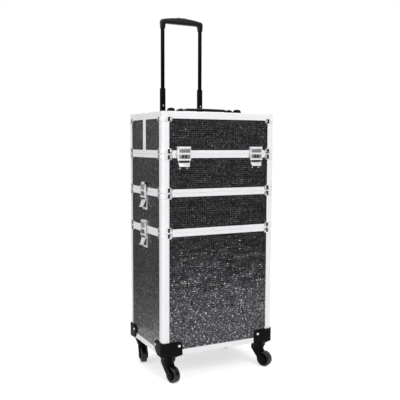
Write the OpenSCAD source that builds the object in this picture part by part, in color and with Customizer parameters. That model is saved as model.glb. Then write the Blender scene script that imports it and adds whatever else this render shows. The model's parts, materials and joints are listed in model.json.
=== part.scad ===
/* [Case] */
// Width across the aluminium frame
case_w = 340; // [300:1:380]
// Depth across the aluminium frame, front to back
case_d = 236; // [220:1:280]
// Height of the bottom case
bottom_h = 330; // [260:1:380]
// Height of the middle case
middle_h = 105; // [95:1:140]
// Height of the top case below its lid
top_h = 102; // [95:1:140]
// Height of the lid
lid_h = 111; // [100:1:140]
// How far behind the middle the lid is split
split_y = 5; // [-5:1:15]
// Gap between neighbouring rims
seam_gap = 0.4; // [0.2:0.1:0.8]

/* [Frame and panels] */
// Width of a corner post on each face
post_leg = 20; // [16:1:24]
// Width of the part of a post that the panels meet
post_core = 12; // [10:1:14]
// Outer rounding of the corner posts
corner_r = 8; // [5:0.5:9]
// Thickness of the aluminium over the edges of the panels
strip_t = 1.2; // [0.8:0.1:2]
// Height of the stone field inside the edging
stone_t = 0.8; // [0.3:0.1:0.8]
// Thickness of the panels
panel_t = 4; // [3:0.5:6]
// Gap where two pieces of the frame or two panels meet
joint_gap = 0.1; // [0.05:0.05:0.3]
// Height of the rims at the seams
rim_h = 10; // [8:0.5:12]
// Height of the rim round the foot of the bottom case
foot_rim_h = 15; // [12:0.5:20]
// Width of the edging round the top of the lid
lid_rim_h = 19; // [15:0.5:24]
// Thickness of the aluminium that closes a panel's edge
web_t = 1.5; // [1:0.1:2.5]
// Height of the tongue that locates the case above
tongue_h = 5; // [3:0.5:6]
// Thickness of the tongue
tongue_t = 1.6; // [1.2:0.1:2.4]
// Side clearance round the tongue
tongue_gap = 0.4; // [0.3:0.1:0.8]
// Clearance between the tongue and the floor above it
floor_gap = 1; // [0.5:0.1:2]
// Thickness of the lining
lining_t = 1.2; // [0.8:0.1:2]
// Reach of the corner caps along each face
cap_reach = 29; // [24:1:34]
// Height of the corner caps
cap_h = 15; // [11:0.5:17]
// Depth of the lid's upper corner caps below its top
top_cap_drop = 13.5; // [4:0.5:18]
// Thickness of the corner caps
cap_t = 1; // [0.6:0.1:1.5]
// Gap under a corner cap
cap_gap = 0.1; // [0.05:0.05:0.2]

/* [Latches] */
// Distance of a front latch from the side of the case
latch_in = 60; // [54:1:80]
// Width of the front latches
latch_w = 38; // [30:1:44]
// Height of a front latch above its seam
latch_up = 20; // [15:0.5:24]
// How far a front hasp hangs below its seam
hasp_drop = 16.5; // [12:0.5:18]
// Length of a front lever
lever_len = 12.5; // [11:0.5:16]
// Width of the side latches
side_latch_w = 32; // [28:1:40]
// Height of a side latch above its seam
side_latch_up = 25; // [20:0.5:28]
// How far a side hasp hangs below its seam
side_hasp_drop = 18; // [14:0.5:20]
// Length of a side lever
side_lever_len = 22; // [18:0.5:24]
// Thickness of the latch plates and hasps
leaf_t = 1.2; // [1:0.1:1.6]
// Radius of the latch knuckles
knuckle_r = 3; // [2.5:0.1:3.4]
// Length of a latch's end knuckles and of its ears
knuckle_len = 5; // [3:0.5:7]
// Radius of the latch pins
latch_pin_r = 1; // [0.8:0.1:1.2]
// Sideways gap between latch parts
latch_gap = 0.3; // [0.2:0.1:0.6]
// Radial clearance on the latch and hinge pins
pin_gap = 0.06; // [0.03:0.01:0.09]

/* [Lid hinge] */
// Radius of the hinge barrel along the split
hinge_r = 2.5; // [2:0.1:3]
// Radius of the hinge pin
hinge_pin_r = 1.2; // [1:0.1:1.4]
// Width of a hinge leaf
hinge_leaf_w = 9; // [7:0.5:9]
// Number of hinge knuckles, an odd number
hinge_count = 11; // [5:2:15]

/* [Carry handle and tray] */
// How far in front of the split the carry handle lies
handle_off = 31; // [29:1:45]
// Overall length of the handle with its anchors
handle_w = 228; // [200:1:250]
// Length of the handle's grip
handle_grip = 128; // [110:1:140]
// Length of a handle anchor
anchor_len = 20; // [18:1:26]
// Width of a handle anchor
anchor_d = 26; // [22:1:30]
// Width of the strap
strap_d = 16; // [12:1:18]
// Thickness of the strap
strap_t = 2.5; // [2:0.5:3]
// Thickness of the handle's grip
handle_bar = 9.5; // [8:0.5:12]
// Gap for the fingers under the handle at rest
finger_gap = 5; // [4:0.5:8]
// How far the handle lifts
handle_lift = 8; // [5:0.5:10]
// Height of the lift-out tray
tray_h = 38; // [30:1:40]
// Wall thickness of the tray
tray_wall = 2; // [1.5:0.1:3]
// Clearance round the tray
tray_gap = 2; // [1.5:0.1:4]
// Width of the ledges under the tray
ledge_w = 9; // [8:1:12]
// Thickness of the loose dividers
divider_t = 3; // [2:0.5:5]

/* [Trolley] */
// Distance of the trolley tubes from the middle
tube_x = 61.5; // [50:0.5:80]
// Width of the outer tubes
tube_w = 21; // [20:0.5:24]
// Depth of the outer tubes
tube_d = 14.5; // [14:0.5:18]
// Step in width and in depth from one tube to the next
tube_step = 3.5; // [3:0.5:4]
// Wall thickness of the tubes
tube_wall = 1.2; // [0.8:0.1:1.4]
// Sliding clearance in the collars
slide_gap = 0.1; // [0.05:0.01:0.2]
// Gap between the outer tubes and the back of the frame
tube_off = 3.2; // [2.8:0.1:5]
// How far the outer collars stand above the lid
tube_rise = 8; // [4:1:12]
// Height of the collars
collar_h = 12; // [10:1:18]
// Free travel of the middle tubes
mid_travel = 60; // [40:1:70]
// Free travel of the inner tubes
inner_travel = 172; // [120:1:200]
// Length of tube that stays inside the tube below
tube_hold = 70; // [50:1:100]
// Height of the grip, foot of its sockets to the crown
grip_h = 36; // [30:1:44]
// Thickness of the grip's bar
grip_bar = 19; // [15:1:22]
// Depth of the grip
grip_d = 17; // [14:0.5:17]
// How much the grip arches
grip_arch = 9; // [5:0.5:12]
// Length of the release button
button_w = 30; // [20:1:36]
// Press of the release button
button_press = 2.5; // [1.5:0.5:3]

/* [Castors] */
// Radius of the wheels
wheel_r = 22; // [20:0.5:26]
// Width of the wheels
wheel_w = 18; // [14:0.5:20]
// How far a wheel trails behind its swivel
castor_trail = 22; // [20:1:34]
// Height from the top of a wheel to the underside of the case
castor_neck = 30; // [28:1:36]
// Distance of a swivel from the side of the case
castor_in_x = 27; // [25:1:36]
// Distance of a swivel from the front or the back of the case
castor_in_y = 25; // [24:1:36]
// Length of a bracket along the front
bracket_w = 58; // [52:1:64]
// Length of a bracket along the side
bracket_d = 50; // [48:1:60]
// Height of a bracket above the underside of the case
bracket_h = 37; // [30:1:44]
// Thickness of a bracket
bracket_t = 3; // [2:0.5:4]
// Height of the socket below the bracket
socket_h = 10; // [8:0.5:12]
// Radius of the fork's head
head_r = 18; // [16:0.5:20]
// Radius of the swivel stem
stem_r = 5; // [4:0.5:6]
// Radius of the axles
axle_r = 3; // [2.5:0.25:4]
// Thickness of a fork's cheeks
cheek_t = 3.4; // [2.5:0.1:3.6]
// Gap between fork and socket and between wheel and cheeks
castor_gap = 0.5; // [0.3:0.1:0.6]
// Turn of the front left castor at rest, in degrees
turn_front_left = 13; // [-180:1:180]
// Turn of the front right castor at rest, in degrees
turn_front_right = 23; // [-180:1:180]
// Turn of the rear left castor at rest, in degrees
turn_rear_left = -15; // [-180:1:180]
// Turn of the rear right castor at rest, in degrees
turn_rear_right = -45; // [-180:1:180]

/* [Hidden] */
$fn = 64;

// Heights of the stack
z_bottom = 2 * wheel_r + castor_neck;
z_middle = z_bottom + bottom_h;
z_top = z_middle + middle_h;
z_lid = z_top + top_h;
z_end = z_lid + lid_h;

// Walls
wall_t = strip_t + panel_t;
face_in = strip_t - stone_t;
field_t = stone_t + panel_t;
top_in = lid_rim_h + joint_gap;
floor_z = tongue_h + floor_gap;
back_y = case_d / 2;
front_depth = back_y + split_y - seam_gap / 2;
rear_depth = back_y - split_y - seam_gap / 2;
inner_w = case_w - 2 * wall_t;
inner_d = case_d - 2 * wall_t;

// Overshoot of a cut past the face that it opens
cut = 1;

// Latches: axis of a hasp in front of the frame, and of a lever
latch_x = case_w / 2 - latch_in;
hasp_n = leaf_t + latch_gap + knuckle_r;
lever_slim = 0.5;
lever_r = knuckle_r - lever_slim;
lever_n = leaf_t + latch_gap + lever_r;
lever_pitch = 1;
lever_flare = 3;
lever_bend = 7;
window_h = 5;
plate_slim = 2;
rivet_r = 2.2;
rivet_h = 1.2;
rivet_pitch = 20;
rivet_margin = 1.5;
rivet_zone = 2 * (rivet_r + rivet_margin);

// Lid hinge
lid_top = z_end + seam_gap;
hinge_z = lid_top + hinge_r + latch_gap;
hinge_len = case_w - 2 * lid_rim_h;
knuckle_pitch = hinge_len / hinge_count;

// Handle
handle_y = handle_off - split_y;
handle_swell = 2;
anchor_floor = 1;
anchor_roof = 2;
anchor_end = 3;
anchor_slot = strap_t + handle_lift + 2 * latch_gap;
anchor_tall = anchor_floor + anchor_slot + anchor_roof;

// Tray
tray_x = inner_w / 2 - lining_t - tray_gap - tongue_gap - tongue_t;
tray_front = -back_y + wall_t + lining_t + tongue_gap + tongue_t + tray_gap;
tray_back = split_y - seam_gap - tray_gap;
tray_z = z_lid - tongue_h - tray_h;

// Trolley
mid_w = tube_w - tube_step;
mid_d = tube_d - tube_step;
inner_slim = 2;
inner_tube_w = mid_w - tube_step - inner_slim;
inner_tube_d = mid_d - tube_step;
tube_y = back_y + tube_off + tube_d / 2;
outer_foot = z_bottom + foot_rim_h;
outer_top = z_end + tube_rise;
mid_top = outer_top + mid_travel + collar_h;
inner_foot = mid_top - tube_hold;
mid_foot = inner_foot - inner_travel;
grip_foot = mid_top + inner_travel;
grip_top = grip_foot + grip_h;
collar_lip = 1;
bracket_tall = 20;
bracket_side = 5;
bracket_wrap = 3;
bracket_low = 3;
bracket_high = 40;
socket_depth = 14;
socket_wall = 2.5;
socket_w = inner_tube_w + 2 * socket_wall;
grip_half = tube_x + socket_w / 2;
grip_gap_arch = grip_arch - 2.5;
button_d = 9;
button_h = 7;
button_proud = 1;
button_clear = 1;

// Castors
socket_z = z_bottom - bracket_t - socket_h;
head_top = socket_z - castor_gap;
head_clear = 4;
head_foot = 2 * wheel_r + head_clear;
stem_short = 1;
stem_len = socket_h - stem_short;
socket_flare = 5;
cheek_in = wheel_w / 2 + castor_gap;
cheek_r = 9;
cheek_lap = 2;
cheek_back = head_r - 2;
cheek_front = head_r - 5;
axle_end = 1;
tread_r = 4;
groove_r = 2.5;
bracket_rivet_in = 11;
bracket_rivet_r = 3;
swivel_x = case_w / 2 - castor_in_x;
swivel_y = case_d / 2 - castor_in_y;

// Colours
stone = [0.13, 0.13, 0.14];
alloy = [0.86, 0.86, 0.88];
steel = [0.72, 0.72, 0.74];
black = [0.05, 0.05, 0.055];
cloth = [0.09, 0.09, 0.1];

// Plan shapes at a corner whose faces run along +X and +Y

// Area outside a rounded corner
module corner_cut(r) {
  difference() {
    translate([-cut, -cut]) square(r + cut);
    translate([r, r]) circle(r);
  }
}

// Section of a corner post
module post_outline() {
  difference() {
    union() {
      square([post_leg, strip_t]);
      square([strip_t, post_leg]);
      square([post_core, wall_t]);
      square([wall_t, post_core]);
    }
    corner_cut(corner_r);
  }
}

// Quarter ring outside a rounded corner
module corner_ring(gap, thick) {
  translate([corner_r, corner_r]) intersection() {
    difference() {
      circle(corner_r + gap + thick);
      circle(corner_r + gap);
    }
    translate([-2 * corner_r - thick, -2 * corner_r - thick]) square(2 * corner_r + thick);
  }
}

// Places a shape at each corner of the case
module corners() {
  for (a = [0, 90, 180, 270]) {
    sx = a == 0 || a == 270 ? -1 : 1;
    sy = a < 180 ? -1 : 1;
    translate([sx * case_w / 2, sy * case_d / 2, 0]) rotate(a) children();
  }
}

function wall_len(i) = i % 2 == 0 ? case_w : case_d;
function wall_reach(i) = i % 2 == 0 ? case_d / 2 : case_w / 2;

// Rail round the foot of a wall, with the web under the panel
module low_rail(length, height) {
  run = length - 2 * (post_leg + joint_gap);
  translate([-run / 2, 0, 0]) cube([run, strip_t, height]);
  translate([-run / 2, 0, 0]) cube([run, wall_t, web_t]);
}

// Rail round the top of a wall, with the tongue for the case above
module high_rail(length, height) {
  run = length - 2 * (post_leg + joint_gap);
  translate([-run / 2, 0, -height]) cube([run, strip_t, height]);
  translate([-run / 2, 0, -web_t]) cube([run, wall_t + tongue_gap + tongue_t, web_t]);
  translate([-run / 2, wall_t + tongue_gap, -web_t]) cube([run, tongue_t, web_t + tongue_h]);
}

// Frame of an open case: posts, low rails and high rails
module case_frame(height, low) {
  corners() linear_extrude(height) post_outline();
  for (i = [0:3]) {
    rotate(90 * i) translate([0, -wall_reach(i), 0]) low_rail(wall_len(i), low);
    rotate(90 * i) translate([0, -wall_reach(i), height]) high_rail(wall_len(i), rim_h);
  }
}

// Wall panel of an open case: a board, and its stone field between the rails and posts
module wall_panel(length, height, low) {
  run = length - 2 * post_core;
  field = length - 2 * (post_leg + joint_gap);
  translate([-run / 2, strip_t, web_t]) cube([run, panel_t, height - 2 * web_t]);
  translate([-field / 2, face_in, low + joint_gap])
    cube([field, field_t, height - low - rim_h - 2 * joint_gap]);
}

// Four wall panels and the floor of an open case
module case_panels(height, floor_at, low) {
  for (i = [0:3])
    rotate(90 * i) translate([0, -wall_reach(i), 0]) wall_panel(wall_len(i), height, low);
  floor_w = inner_w - 2 * joint_gap;
  floor_d = inner_d - 2 * joint_gap;
  translate([-floor_w / 2, -floor_d / 2, floor_at]) cube([floor_w, floor_d, panel_t]);
}

// Lining of an open case, above its floor
module case_lining(height, floor_at) {
  low = floor_at + panel_t;
  tall = height - web_t - low;
  difference() {
    translate([-inner_w / 2, -inner_d / 2, low]) cube([inner_w, inner_d, tall]);
    translate([-inner_w / 2 + lining_t, -inner_d / 2 + lining_t, low + lining_t])
      cube([inner_w - 2 * lining_t, inner_d - 2 * lining_t, tall]);
  }
}

// One lobe of a corner cap: a strip with a round end, flat on the XZ plane
module cap_lobe() {
  rotate([90, 0, 0]) linear_extrude(cap_t) union() {
    translate([corner_r, 0]) square([cap_reach - corner_r - cap_h / 2, cap_h]);
    translate([cap_reach - cap_h / 2, cap_h / 2]) circle(cap_h / 2);
  }
}

// Corner cap that wraps a post
module corner_cap() {
  linear_extrude(cap_h) corner_ring(cap_gap, cap_t);
  translate([0, -cap_gap, 0]) cap_lobe();
  translate([-cap_gap, 0, 0]) rotate(90) translate([0, cap_t, 0]) cap_lobe();
}

// Posts of half the lid, seen with its outer wall at y = 0 and the split at y = depth
module lid_posts() {
  for (s = [-1, 1])
    translate([s * case_w / 2, 0, 0]) rotate(s < 0 ? 0 : 90) linear_extrude(lid_h) post_outline();
}

// Edging of one side of a half lid, for the left side
module lid_side_edging(depth) {
  run = depth - post_leg - rim_h - 2 * joint_gap;
  translate([-case_w / 2, post_leg + joint_gap, 0]) {
    cube([strip_t, run, rim_h]);
    cube([wall_t, run, web_t]);
    translate([0, 0, lid_h - lid_rim_h]) cube([strip_t, run, lid_rim_h]);
    translate([0, 0, lid_h - strip_t]) cube([lid_rim_h, run, strip_t]);
  }
  translate([-case_w / 2, depth - rim_h, 0]) {
    cube([strip_t, rim_h, lid_h]);
    translate([0, rim_h - web_t, 0]) cube([wall_t, web_t, lid_h]);
    translate([0, 0, lid_h - strip_t]) cube([lid_rim_h, rim_h, strip_t]);
  }
}

// Frame of half the lid: posts, rims and the edging along the split
module lid_frame(depth) {
  run = case_w - 2 * (post_leg + joint_gap);
  top_run = case_w - 2 * (lid_rim_h + joint_gap);
  lid_posts();
  translate([-run / 2, 0, 0]) cube([run, strip_t, rim_h]);
  translate([-run / 2, 0, 0]) cube([run, wall_t, web_t]);
  translate([-run / 2, 0, lid_h - lid_rim_h]) cube([run, strip_t, lid_rim_h]);
  translate([-run / 2, 0, lid_h - strip_t]) cube([run, lid_rim_h, strip_t]);
  translate([-top_run / 2, depth - rim_h, lid_h - strip_t]) cube([top_run, rim_h, strip_t]);
  translate([-top_run / 2, depth - web_t, lid_h - wall_t]) cube([top_run, web_t, wall_t]);
  lid_side_edging(depth);
  mirror([1, 0, 0]) lid_side_edging(depth);
}

// Front, side and top panels of half the lid
module lid_panels(depth) {
  run = case_w - 2 * post_core;
  tall = lid_h - web_t - wall_t;
  side_run = depth - post_core - web_t;
  field = case_w - 2 * (post_leg + joint_gap);
  field_low = rim_h + joint_gap;
  field_tall = lid_h - lid_rim_h - joint_gap - field_low;
  field_in = post_leg + joint_gap;
  field_end = depth - rim_h - joint_gap;
  translate([-run / 2, strip_t, web_t]) cube([run, panel_t, tall]);
  translate([-field / 2, face_in, field_low]) cube([field, field_t, field_tall]);
  for (s = [0, 1]) mirror([s, 0, 0]) translate([-case_w / 2, 0, 0]) {
    translate([strip_t, post_core, web_t]) cube([panel_t, side_run, tall]);
    translate([face_in, field_in, field_low]) cube([field_t, field_end - field_in, field_tall]);
  }
  translate([-inner_w / 2, wall_t, lid_h - wall_t]) cube([inner_w, depth - wall_t - web_t, panel_t]);
  translate([top_in - case_w / 2, top_in, lid_h - wall_t])
    cube([case_w - 2 * top_in, field_end - top_in, field_t]);
}

// Corner caps of half the lid, low and high
module lid_corners() {
  for (s = [-1, 1]) translate([s * case_w / 2, 0, 0]) rotate(s < 0 ? 0 : 90) {
    corner_cap();
    translate([0, 0, lid_h - top_cap_drop - cap_h]) corner_cap();
  }
}

// Places of the two halves of the lid
module at_front_lid() {
  translate([0, -back_y, z_lid + seam_gap]) children();
}

module at_rear_lid() {
  translate([0, back_y, z_lid + seam_gap]) rotate(180) children();
}

// Places for latches: outward is -Y in a latch's own frame, and its seam is at z = 0
module front_seam(side) {
  translate([side * latch_x, -back_y, z_lid]) children();
}

// Place of a side latch at the seam at height z
module side_seam(side, z) {
  translate([side * case_w / 2, 0, z]) rotate(side * 90) children();
}

// Axis along X at a distance in front of the frame
module latch_axle(r, length, n, z) {
  translate([-length / 2, -n, z]) rotate([0, 90, 0]) cylinder(r = r, h = length);
}

// Fixed leaf of a latch, on the case above the seam, with the hasp's pin
module hasp_leaf(w, up) {
  low = seam_gap + rim_h;
  axis_z = up - knuckle_r;
  translate([-w / 2, -leaf_t, seam_gap]) cube([w, leaf_t, up - seam_gap]);
  translate([-w / 2, -leaf_t, low]) cube([w, leaf_t + face_in, up - low]);
  for (s = [-1, 1]) translate([s * (w - knuckle_len) / 2, 0, 0]) {
    latch_axle(knuckle_r, knuckle_len, hasp_n, axis_z);
    translate([-knuckle_len / 2, -hasp_n, axis_z]) cube([knuckle_len, hasp_n, knuckle_r]);
  }
  latch_axle(latch_pin_r, w, hasp_n, axis_z);
}

// Hasp: rolled knuckle, plate with a window and two bent flanges
module hasp(w, up, drop) {
  axis_z = up - knuckle_r;
  mid_len = w - 2 * knuckle_len - 2 * latch_gap;
  step_z = axis_z - knuckle_r - 2 * latch_gap;
  face_n = hasp_n + knuckle_r;
  window_w = w - 4 * knuckle_len;
  color(steel) difference() {
    union() {
      latch_axle(knuckle_r, mid_len, hasp_n, axis_z);
      translate([-mid_len / 2, -face_n, step_z - leaf_t])
        cube([mid_len, leaf_t, axis_z - step_z + leaf_t]);
      translate([-w / 2, -face_n, -drop]) cube([w, leaf_t, step_z + drop]);
      for (s = [-1, 1]) translate([s * (w - leaf_t) / 2 - leaf_t / 2, -face_n, -drop])
        cube([leaf_t, knuckle_r + leaf_t, step_z + drop]);
    }
    latch_axle(latch_pin_r + pin_gap, w, hasp_n, axis_z);
    translate([-window_w / 2, -face_n - cut, -window_h - leaf_t])
      cube([window_w, leaf_t + 2 * cut, window_h]);
  }
}

// Plate of a latch, on the case below the seam, with the ears and pin of the lever
module latch_plate(w, hasp_low, reach) {
  plate_w = w - plate_slim;
  axis_z = -hasp_low - lever_r - lever_pitch;
  drop = reach + rivet_zone - axis_z;
  translate([-plate_w / 2, -leaf_t, -drop]) cube([plate_w, leaf_t, drop - web_t]);
  translate([-plate_w / 2, -leaf_t, -drop]) cube([plate_w, leaf_t + face_in, drop - rim_h]);
  for (s = [-1, 1]) translate([s * (plate_w - leaf_t) / 2, 0, 0]) {
    latch_axle(lever_r, leaf_t, lever_n, axis_z);
    translate([-leaf_t / 2, -lever_n, axis_z - lever_r]) cube([leaf_t, lever_n, 2 * lever_r]);
  }
  latch_axle(latch_pin_r, plate_w, lever_n, axis_z);
  for (s = [-1, 1])
    translate([s * rivet_pitch / 2, -leaf_t, -drop + rivet_zone / 2]) rotate([90, 0, 0])
      cylinder(r = rivet_r, h = rivet_h);
}

// Lever: knuckle and a tab that flares away from the case
module lever(w, hasp_low, reach) {
  axis_z = -hasp_low - lever_r - lever_pitch;
  wide = w - plate_slim - 2 * leaf_t - 2 * latch_gap;
  half = leaf_t / 2;
  bend = reach - lever_bend;
  color(steel) difference() {
    union() {
      latch_axle(lever_r, wide, lever_n, axis_z);
      translate([-wide / 2, -lever_n, axis_z]) rotate([90, 0, 90]) linear_extrude(wide)
        polygon([
          [-half, 0], [half, 0], [half, -bend], [half - lever_flare, -reach],
          [-half - lever_flare, -reach], [-half, -bend]
        ]);
    }
    latch_axle(latch_pin_r + pin_gap, w, lever_n, axis_z);
  }
}

// Tube section with round ends
module oblong(w, d) {
  square([w - d, d], center = true);
  for (s = [-1, 1]) translate([s * (w - d) / 2, 0]) circle(d / 2);
}

// Pair of tubes
module tubes(w, d, wall, low, high) {
  for (s = [-1, 1]) translate([s * tube_x, tube_y, low]) linear_extrude(high - low) difference() {
    oblong(w, d);
    oblong(w - 2 * wall, d - 2 * wall);
  }
}

// Collars that sit on the top of one pair of tubes and guide the next pair
module tube_collars(w, d, next_w, next_d, low, high) {
  for (s = [-1, 1]) translate([s * tube_x, tube_y, low]) linear_extrude(high - low) difference() {
    oblong(w, d);
    oblong(next_w + 2 * slide_gap, next_d + 2 * slide_gap);
  }
}

// Bracket on the back of the bottom case that holds both outer tubes
module tube_bracket(z) {
  wide = 2 * tube_x + tube_w + 2 * bracket_side;
  deep = face_in + tube_off + tube_d / 2 + bracket_wrap;
  translate([0, 0, z]) difference() {
    translate([-wide / 2, back_y - face_in, 0]) cube([wide, deep, bracket_tall]);
    for (s = [-1, 1]) translate([s * tube_x, tube_y, -cut]) linear_extrude(bracket_tall + 2 * cut)
      oblong(tube_w + 2 * slide_gap, tube_d + 2 * slide_gap);
  }
}

// Castor bracket at the front left corner: two flanges, plate and socket
module castor_bracket() {
  edge = bracket_t + cap_gap;
  tall = bracket_h + bracket_t;
  translate([-case_w / 2, -back_y, z_bottom - bracket_t]) difference() {
    union() {
      linear_extrude(tall) corner_ring(cap_gap, bracket_t);
      translate([corner_r, -edge, 0]) cube([bracket_w - corner_r, bracket_t, tall]);
      translate([-edge, corner_r, 0]) cube([bracket_t, bracket_d - corner_r, tall]);
      linear_extrude(bracket_t - cap_gap) difference() {
        translate([-edge, -edge]) square([bracket_w + edge, bracket_d + edge]);
        translate([-edge, -edge]) corner_cut(corner_r + edge);
      }
      translate([castor_in_x, castor_in_y, -socket_h])
        cylinder(r1 = head_r, r2 = head_r + socket_flare, h = socket_h);
    }
    translate([castor_in_x, castor_in_y, -socket_h - cut])
      cylinder(r = stem_r + pin_gap, h = socket_h + cut);
  }
  translate([-case_w / 2, -back_y, z_bottom + bracket_h - bracket_rivet_in]) {
    translate([bracket_w - bracket_rivet_in, -edge, 0]) rotate([90, 0, 0])
      cylinder(r = bracket_rivet_r, h = rivet_h);
    translate([-edge, bracket_d - bracket_rivet_in, 0]) rotate([0, -90, 0])
      cylinder(r = bracket_rivet_r, h = rivet_h);
  }
}

// Side view of a fork's cheek, with the swivel at y = 0
module cheek_outline() {
  translate([-castor_trail, wheel_r]) circle(cheek_r);
  polygon([
    [-cheek_back, head_foot + cheek_lap], [cheek_front, head_foot + cheek_lap],
    [cheek_front, head_foot - head_clear],
    [-castor_trail + cheek_r * cos(45), wheel_r - cheek_r * sin(45)],
    [-castor_trail - cheek_r * cos(45), wheel_r + cheek_r * sin(45)]
  ]);
}

// Fork with its stem and axle, swivel at the origin
module fork() {
  color(black) union() {
    translate([0, 0, head_foot]) cylinder(r = head_r, h = head_top - head_foot);
    translate([0, 0, head_foot]) cylinder(r = stem_r, h = head_top - head_foot + stem_len);
    for (x = [-cheek_in - cheek_t, cheek_in])
      translate([x, 0, 0]) rotate([90, 0, 90]) linear_extrude(cheek_t) cheek_outline();
    translate([-cheek_in - cheek_t - axle_end, -castor_trail, wheel_r]) rotate([0, 90, 0])
      cylinder(r = axle_r, h = 2 * (cheek_in + cheek_t + axle_end));
  }
}

// Half section of a wheel: tread with round shoulders, hub and a dished side
module wheel_section() {
  half = wheel_w / 2;
  bore = axle_r + pin_gap;
  difference() {
    union() {
      translate([bore, -half]) square([wheel_r - tread_r - bore, wheel_w]);
      translate([bore, tread_r - half]) square([wheel_r - bore, wheel_w - 2 * tread_r]);
      for (s = [-1, 1]) translate([wheel_r - tread_r, s * (half - tread_r)]) circle(tread_r);
    }
    for (s = [-1, 1]) translate([(wheel_r + axle_r) / 2, s * half]) circle(groove_r);
  }
}

// Wheel on its axle, swivel at the origin
module wheel() {
  color(black) translate([0, -castor_trail, wheel_r]) rotate([0, 90, 0])
    rotate_extrude() wheel_section();
}

// Places a castor below its swivel, turned to its rest direction
module at_swivel(sx, sy, turn) {
  translate([sx * swivel_x, sy * swivel_y, 0]) rotate(turn) children();
}

// Nodes of the bottom case

module bottom_panels() {
  color(stone) translate([0, 0, z_bottom]) case_panels(bottom_h, web_t, foot_rim_h);
}

module bottom_frame() {
  color(alloy) translate([0, 0, z_bottom]) case_frame(bottom_h, foot_rim_h);
}

module bottom_corners() {
  color(steel) translate([0, 0, z_middle - cap_h]) corners() corner_cap();
}

module bottom_lining() {
  color(cloth) translate([0, 0, z_bottom]) case_lining(bottom_h, web_t);
}

module bottom_latch_plates() {
  color(steel) for (s = [-1, 1])
    side_seam(s, z_middle) latch_plate(side_latch_w, side_hasp_drop, side_lever_len);
}

module castor_brackets() {
  color(black) {
    castor_bracket();
    mirror([1, 0, 0]) castor_bracket();
    mirror([0, 1, 0]) castor_bracket();
    rotate(180) castor_bracket();
  }
}

module trolley_tubes() {
  color(black) tubes(tube_w, tube_d, tube_wall, outer_foot, outer_top - collar_h);
}

module trolley_collars() {
  color(black) tube_collars(
    tube_w + 2 * collar_lip, tube_d + 2 * collar_lip, mid_w, mid_d, outer_top - collar_h, outer_top
  );
}

module trolley_brackets() {
  color(black) {
    tube_bracket(z_bottom + foot_rim_h + bracket_low);
    tube_bracket(z_middle - rim_h - bracket_high);
  }
}

// Nodes of the middle case

module middle_panels() {
  color(stone) translate([0, 0, z_middle + seam_gap]) case_panels(middle_h - seam_gap, floor_z, rim_h);
}

module middle_frame() {
  color(alloy) translate([0, 0, z_middle + seam_gap]) case_frame(middle_h - seam_gap, rim_h);
}

module middle_corners() {
  color(steel) {
    translate([0, 0, z_middle + seam_gap]) corners() corner_cap();
    translate([0, 0, z_top - cap_h]) corners() corner_cap();
  }
}

module middle_lining() {
  color(cloth) translate([0, 0, z_middle + seam_gap]) case_lining(middle_h - seam_gap, floor_z);
}

module middle_dividers() {
  low = z_middle + seam_gap + floor_z + panel_t + lining_t;
  tall = z_top - web_t - low - tray_gap;
  run = inner_w - 2 * lining_t - 2 * tongue_gap;
  half = (inner_d - 2 * lining_t - divider_t) / 2 - tongue_gap;
  color(cloth) {
    translate([-run / 2, -divider_t / 2, low]) cube([run, divider_t, tall]);
    for (x = [-run / 4, run / 4])
      translate([x - divider_t / 2, divider_t / 2, low]) cube([divider_t, half, tall]);
    translate([-divider_t / 2, -divider_t / 2 - half, low]) cube([divider_t, half, tall]);
  }
}

module middle_latch_mounts() {
  color(steel) for (s = [-1, 1]) {
    side_seam(s, z_middle) hasp_leaf(side_latch_w, side_latch_up);
    side_seam(s, z_top) latch_plate(side_latch_w, side_hasp_drop, side_lever_len);
  }
}

// Nodes of the top case and the rear half of its lid

module top_panels() {
  color(stone) translate([0, 0, z_top + seam_gap]) case_panels(top_h - seam_gap, floor_z, rim_h);
}

module top_frame() {
  color(alloy) translate([0, 0, z_top + seam_gap]) case_frame(top_h - seam_gap, rim_h);
}

module top_corners() {
  color(steel) {
    translate([0, 0, z_top + seam_gap]) corners() corner_cap();
    translate([0, 0, z_lid - cap_h]) corners() corner_cap();
  }
}

module top_lining() {
  color(cloth) translate([0, 0, z_top + seam_gap]) case_lining(top_h - seam_gap, floor_z);
}

module top_latch_mounts() {
  color(steel) for (s = [-1, 1]) {
    side_seam(s, z_top) hasp_leaf(side_latch_w, side_latch_up);
    front_seam(s) latch_plate(latch_w, hasp_drop, lever_len);
  }
}

module tray_ledges() {
  low = tray_z - panel_t;
  color(cloth) for (s = [-1, 1])
    translate([s < 0 ? -inner_w / 2 + lining_t : inner_w / 2 - lining_t - ledge_w, tray_front, low])
      cube([ledge_w, tray_back - tray_front, panel_t]);
}

module rear_lid_panels() {
  color(stone) at_rear_lid() lid_panels(rear_depth);
}

module rear_lid_frame() {
  color(alloy) at_rear_lid() lid_frame(rear_depth);
}

module rear_lid_corners() {
  color(steel) at_rear_lid() lid_corners();
}

// Leaf of the lid hinge; side is 1 behind the split and -1 in front of it
module hinge_leaf(side) {
  first = side > 0 ? 1 : 0;
  plate_w = hinge_leaf_w - hinge_r;
  plate_y = side > 0 ? hinge_r + latch_gap : -hinge_leaf_w - latch_gap;
  translate([-hinge_len / 2, split_y + plate_y, lid_top]) cube([hinge_len, plate_w, leaf_t]);
  for (k = [first:2:hinge_count - 1]) {
    low = -hinge_len / 2 + k * knuckle_pitch + latch_gap / 2;
    run = knuckle_pitch - latch_gap;
    difference() {
      union() {
        translate([low, split_y, hinge_z]) rotate([0, 90, 0]) cylinder(r = hinge_r, h = run);
        translate([low, split_y + (side > 0 ? 0 : -hinge_r - 2 * latch_gap), lid_top])
          cube([run, hinge_r + 2 * latch_gap, leaf_t]);
      }
      translate([low - cut, split_y, hinge_z]) rotate([0, 90, 0])
        cylinder(r = hinge_pin_r + pin_gap, h = run + 2 * cut);
    }
  }
}

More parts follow.
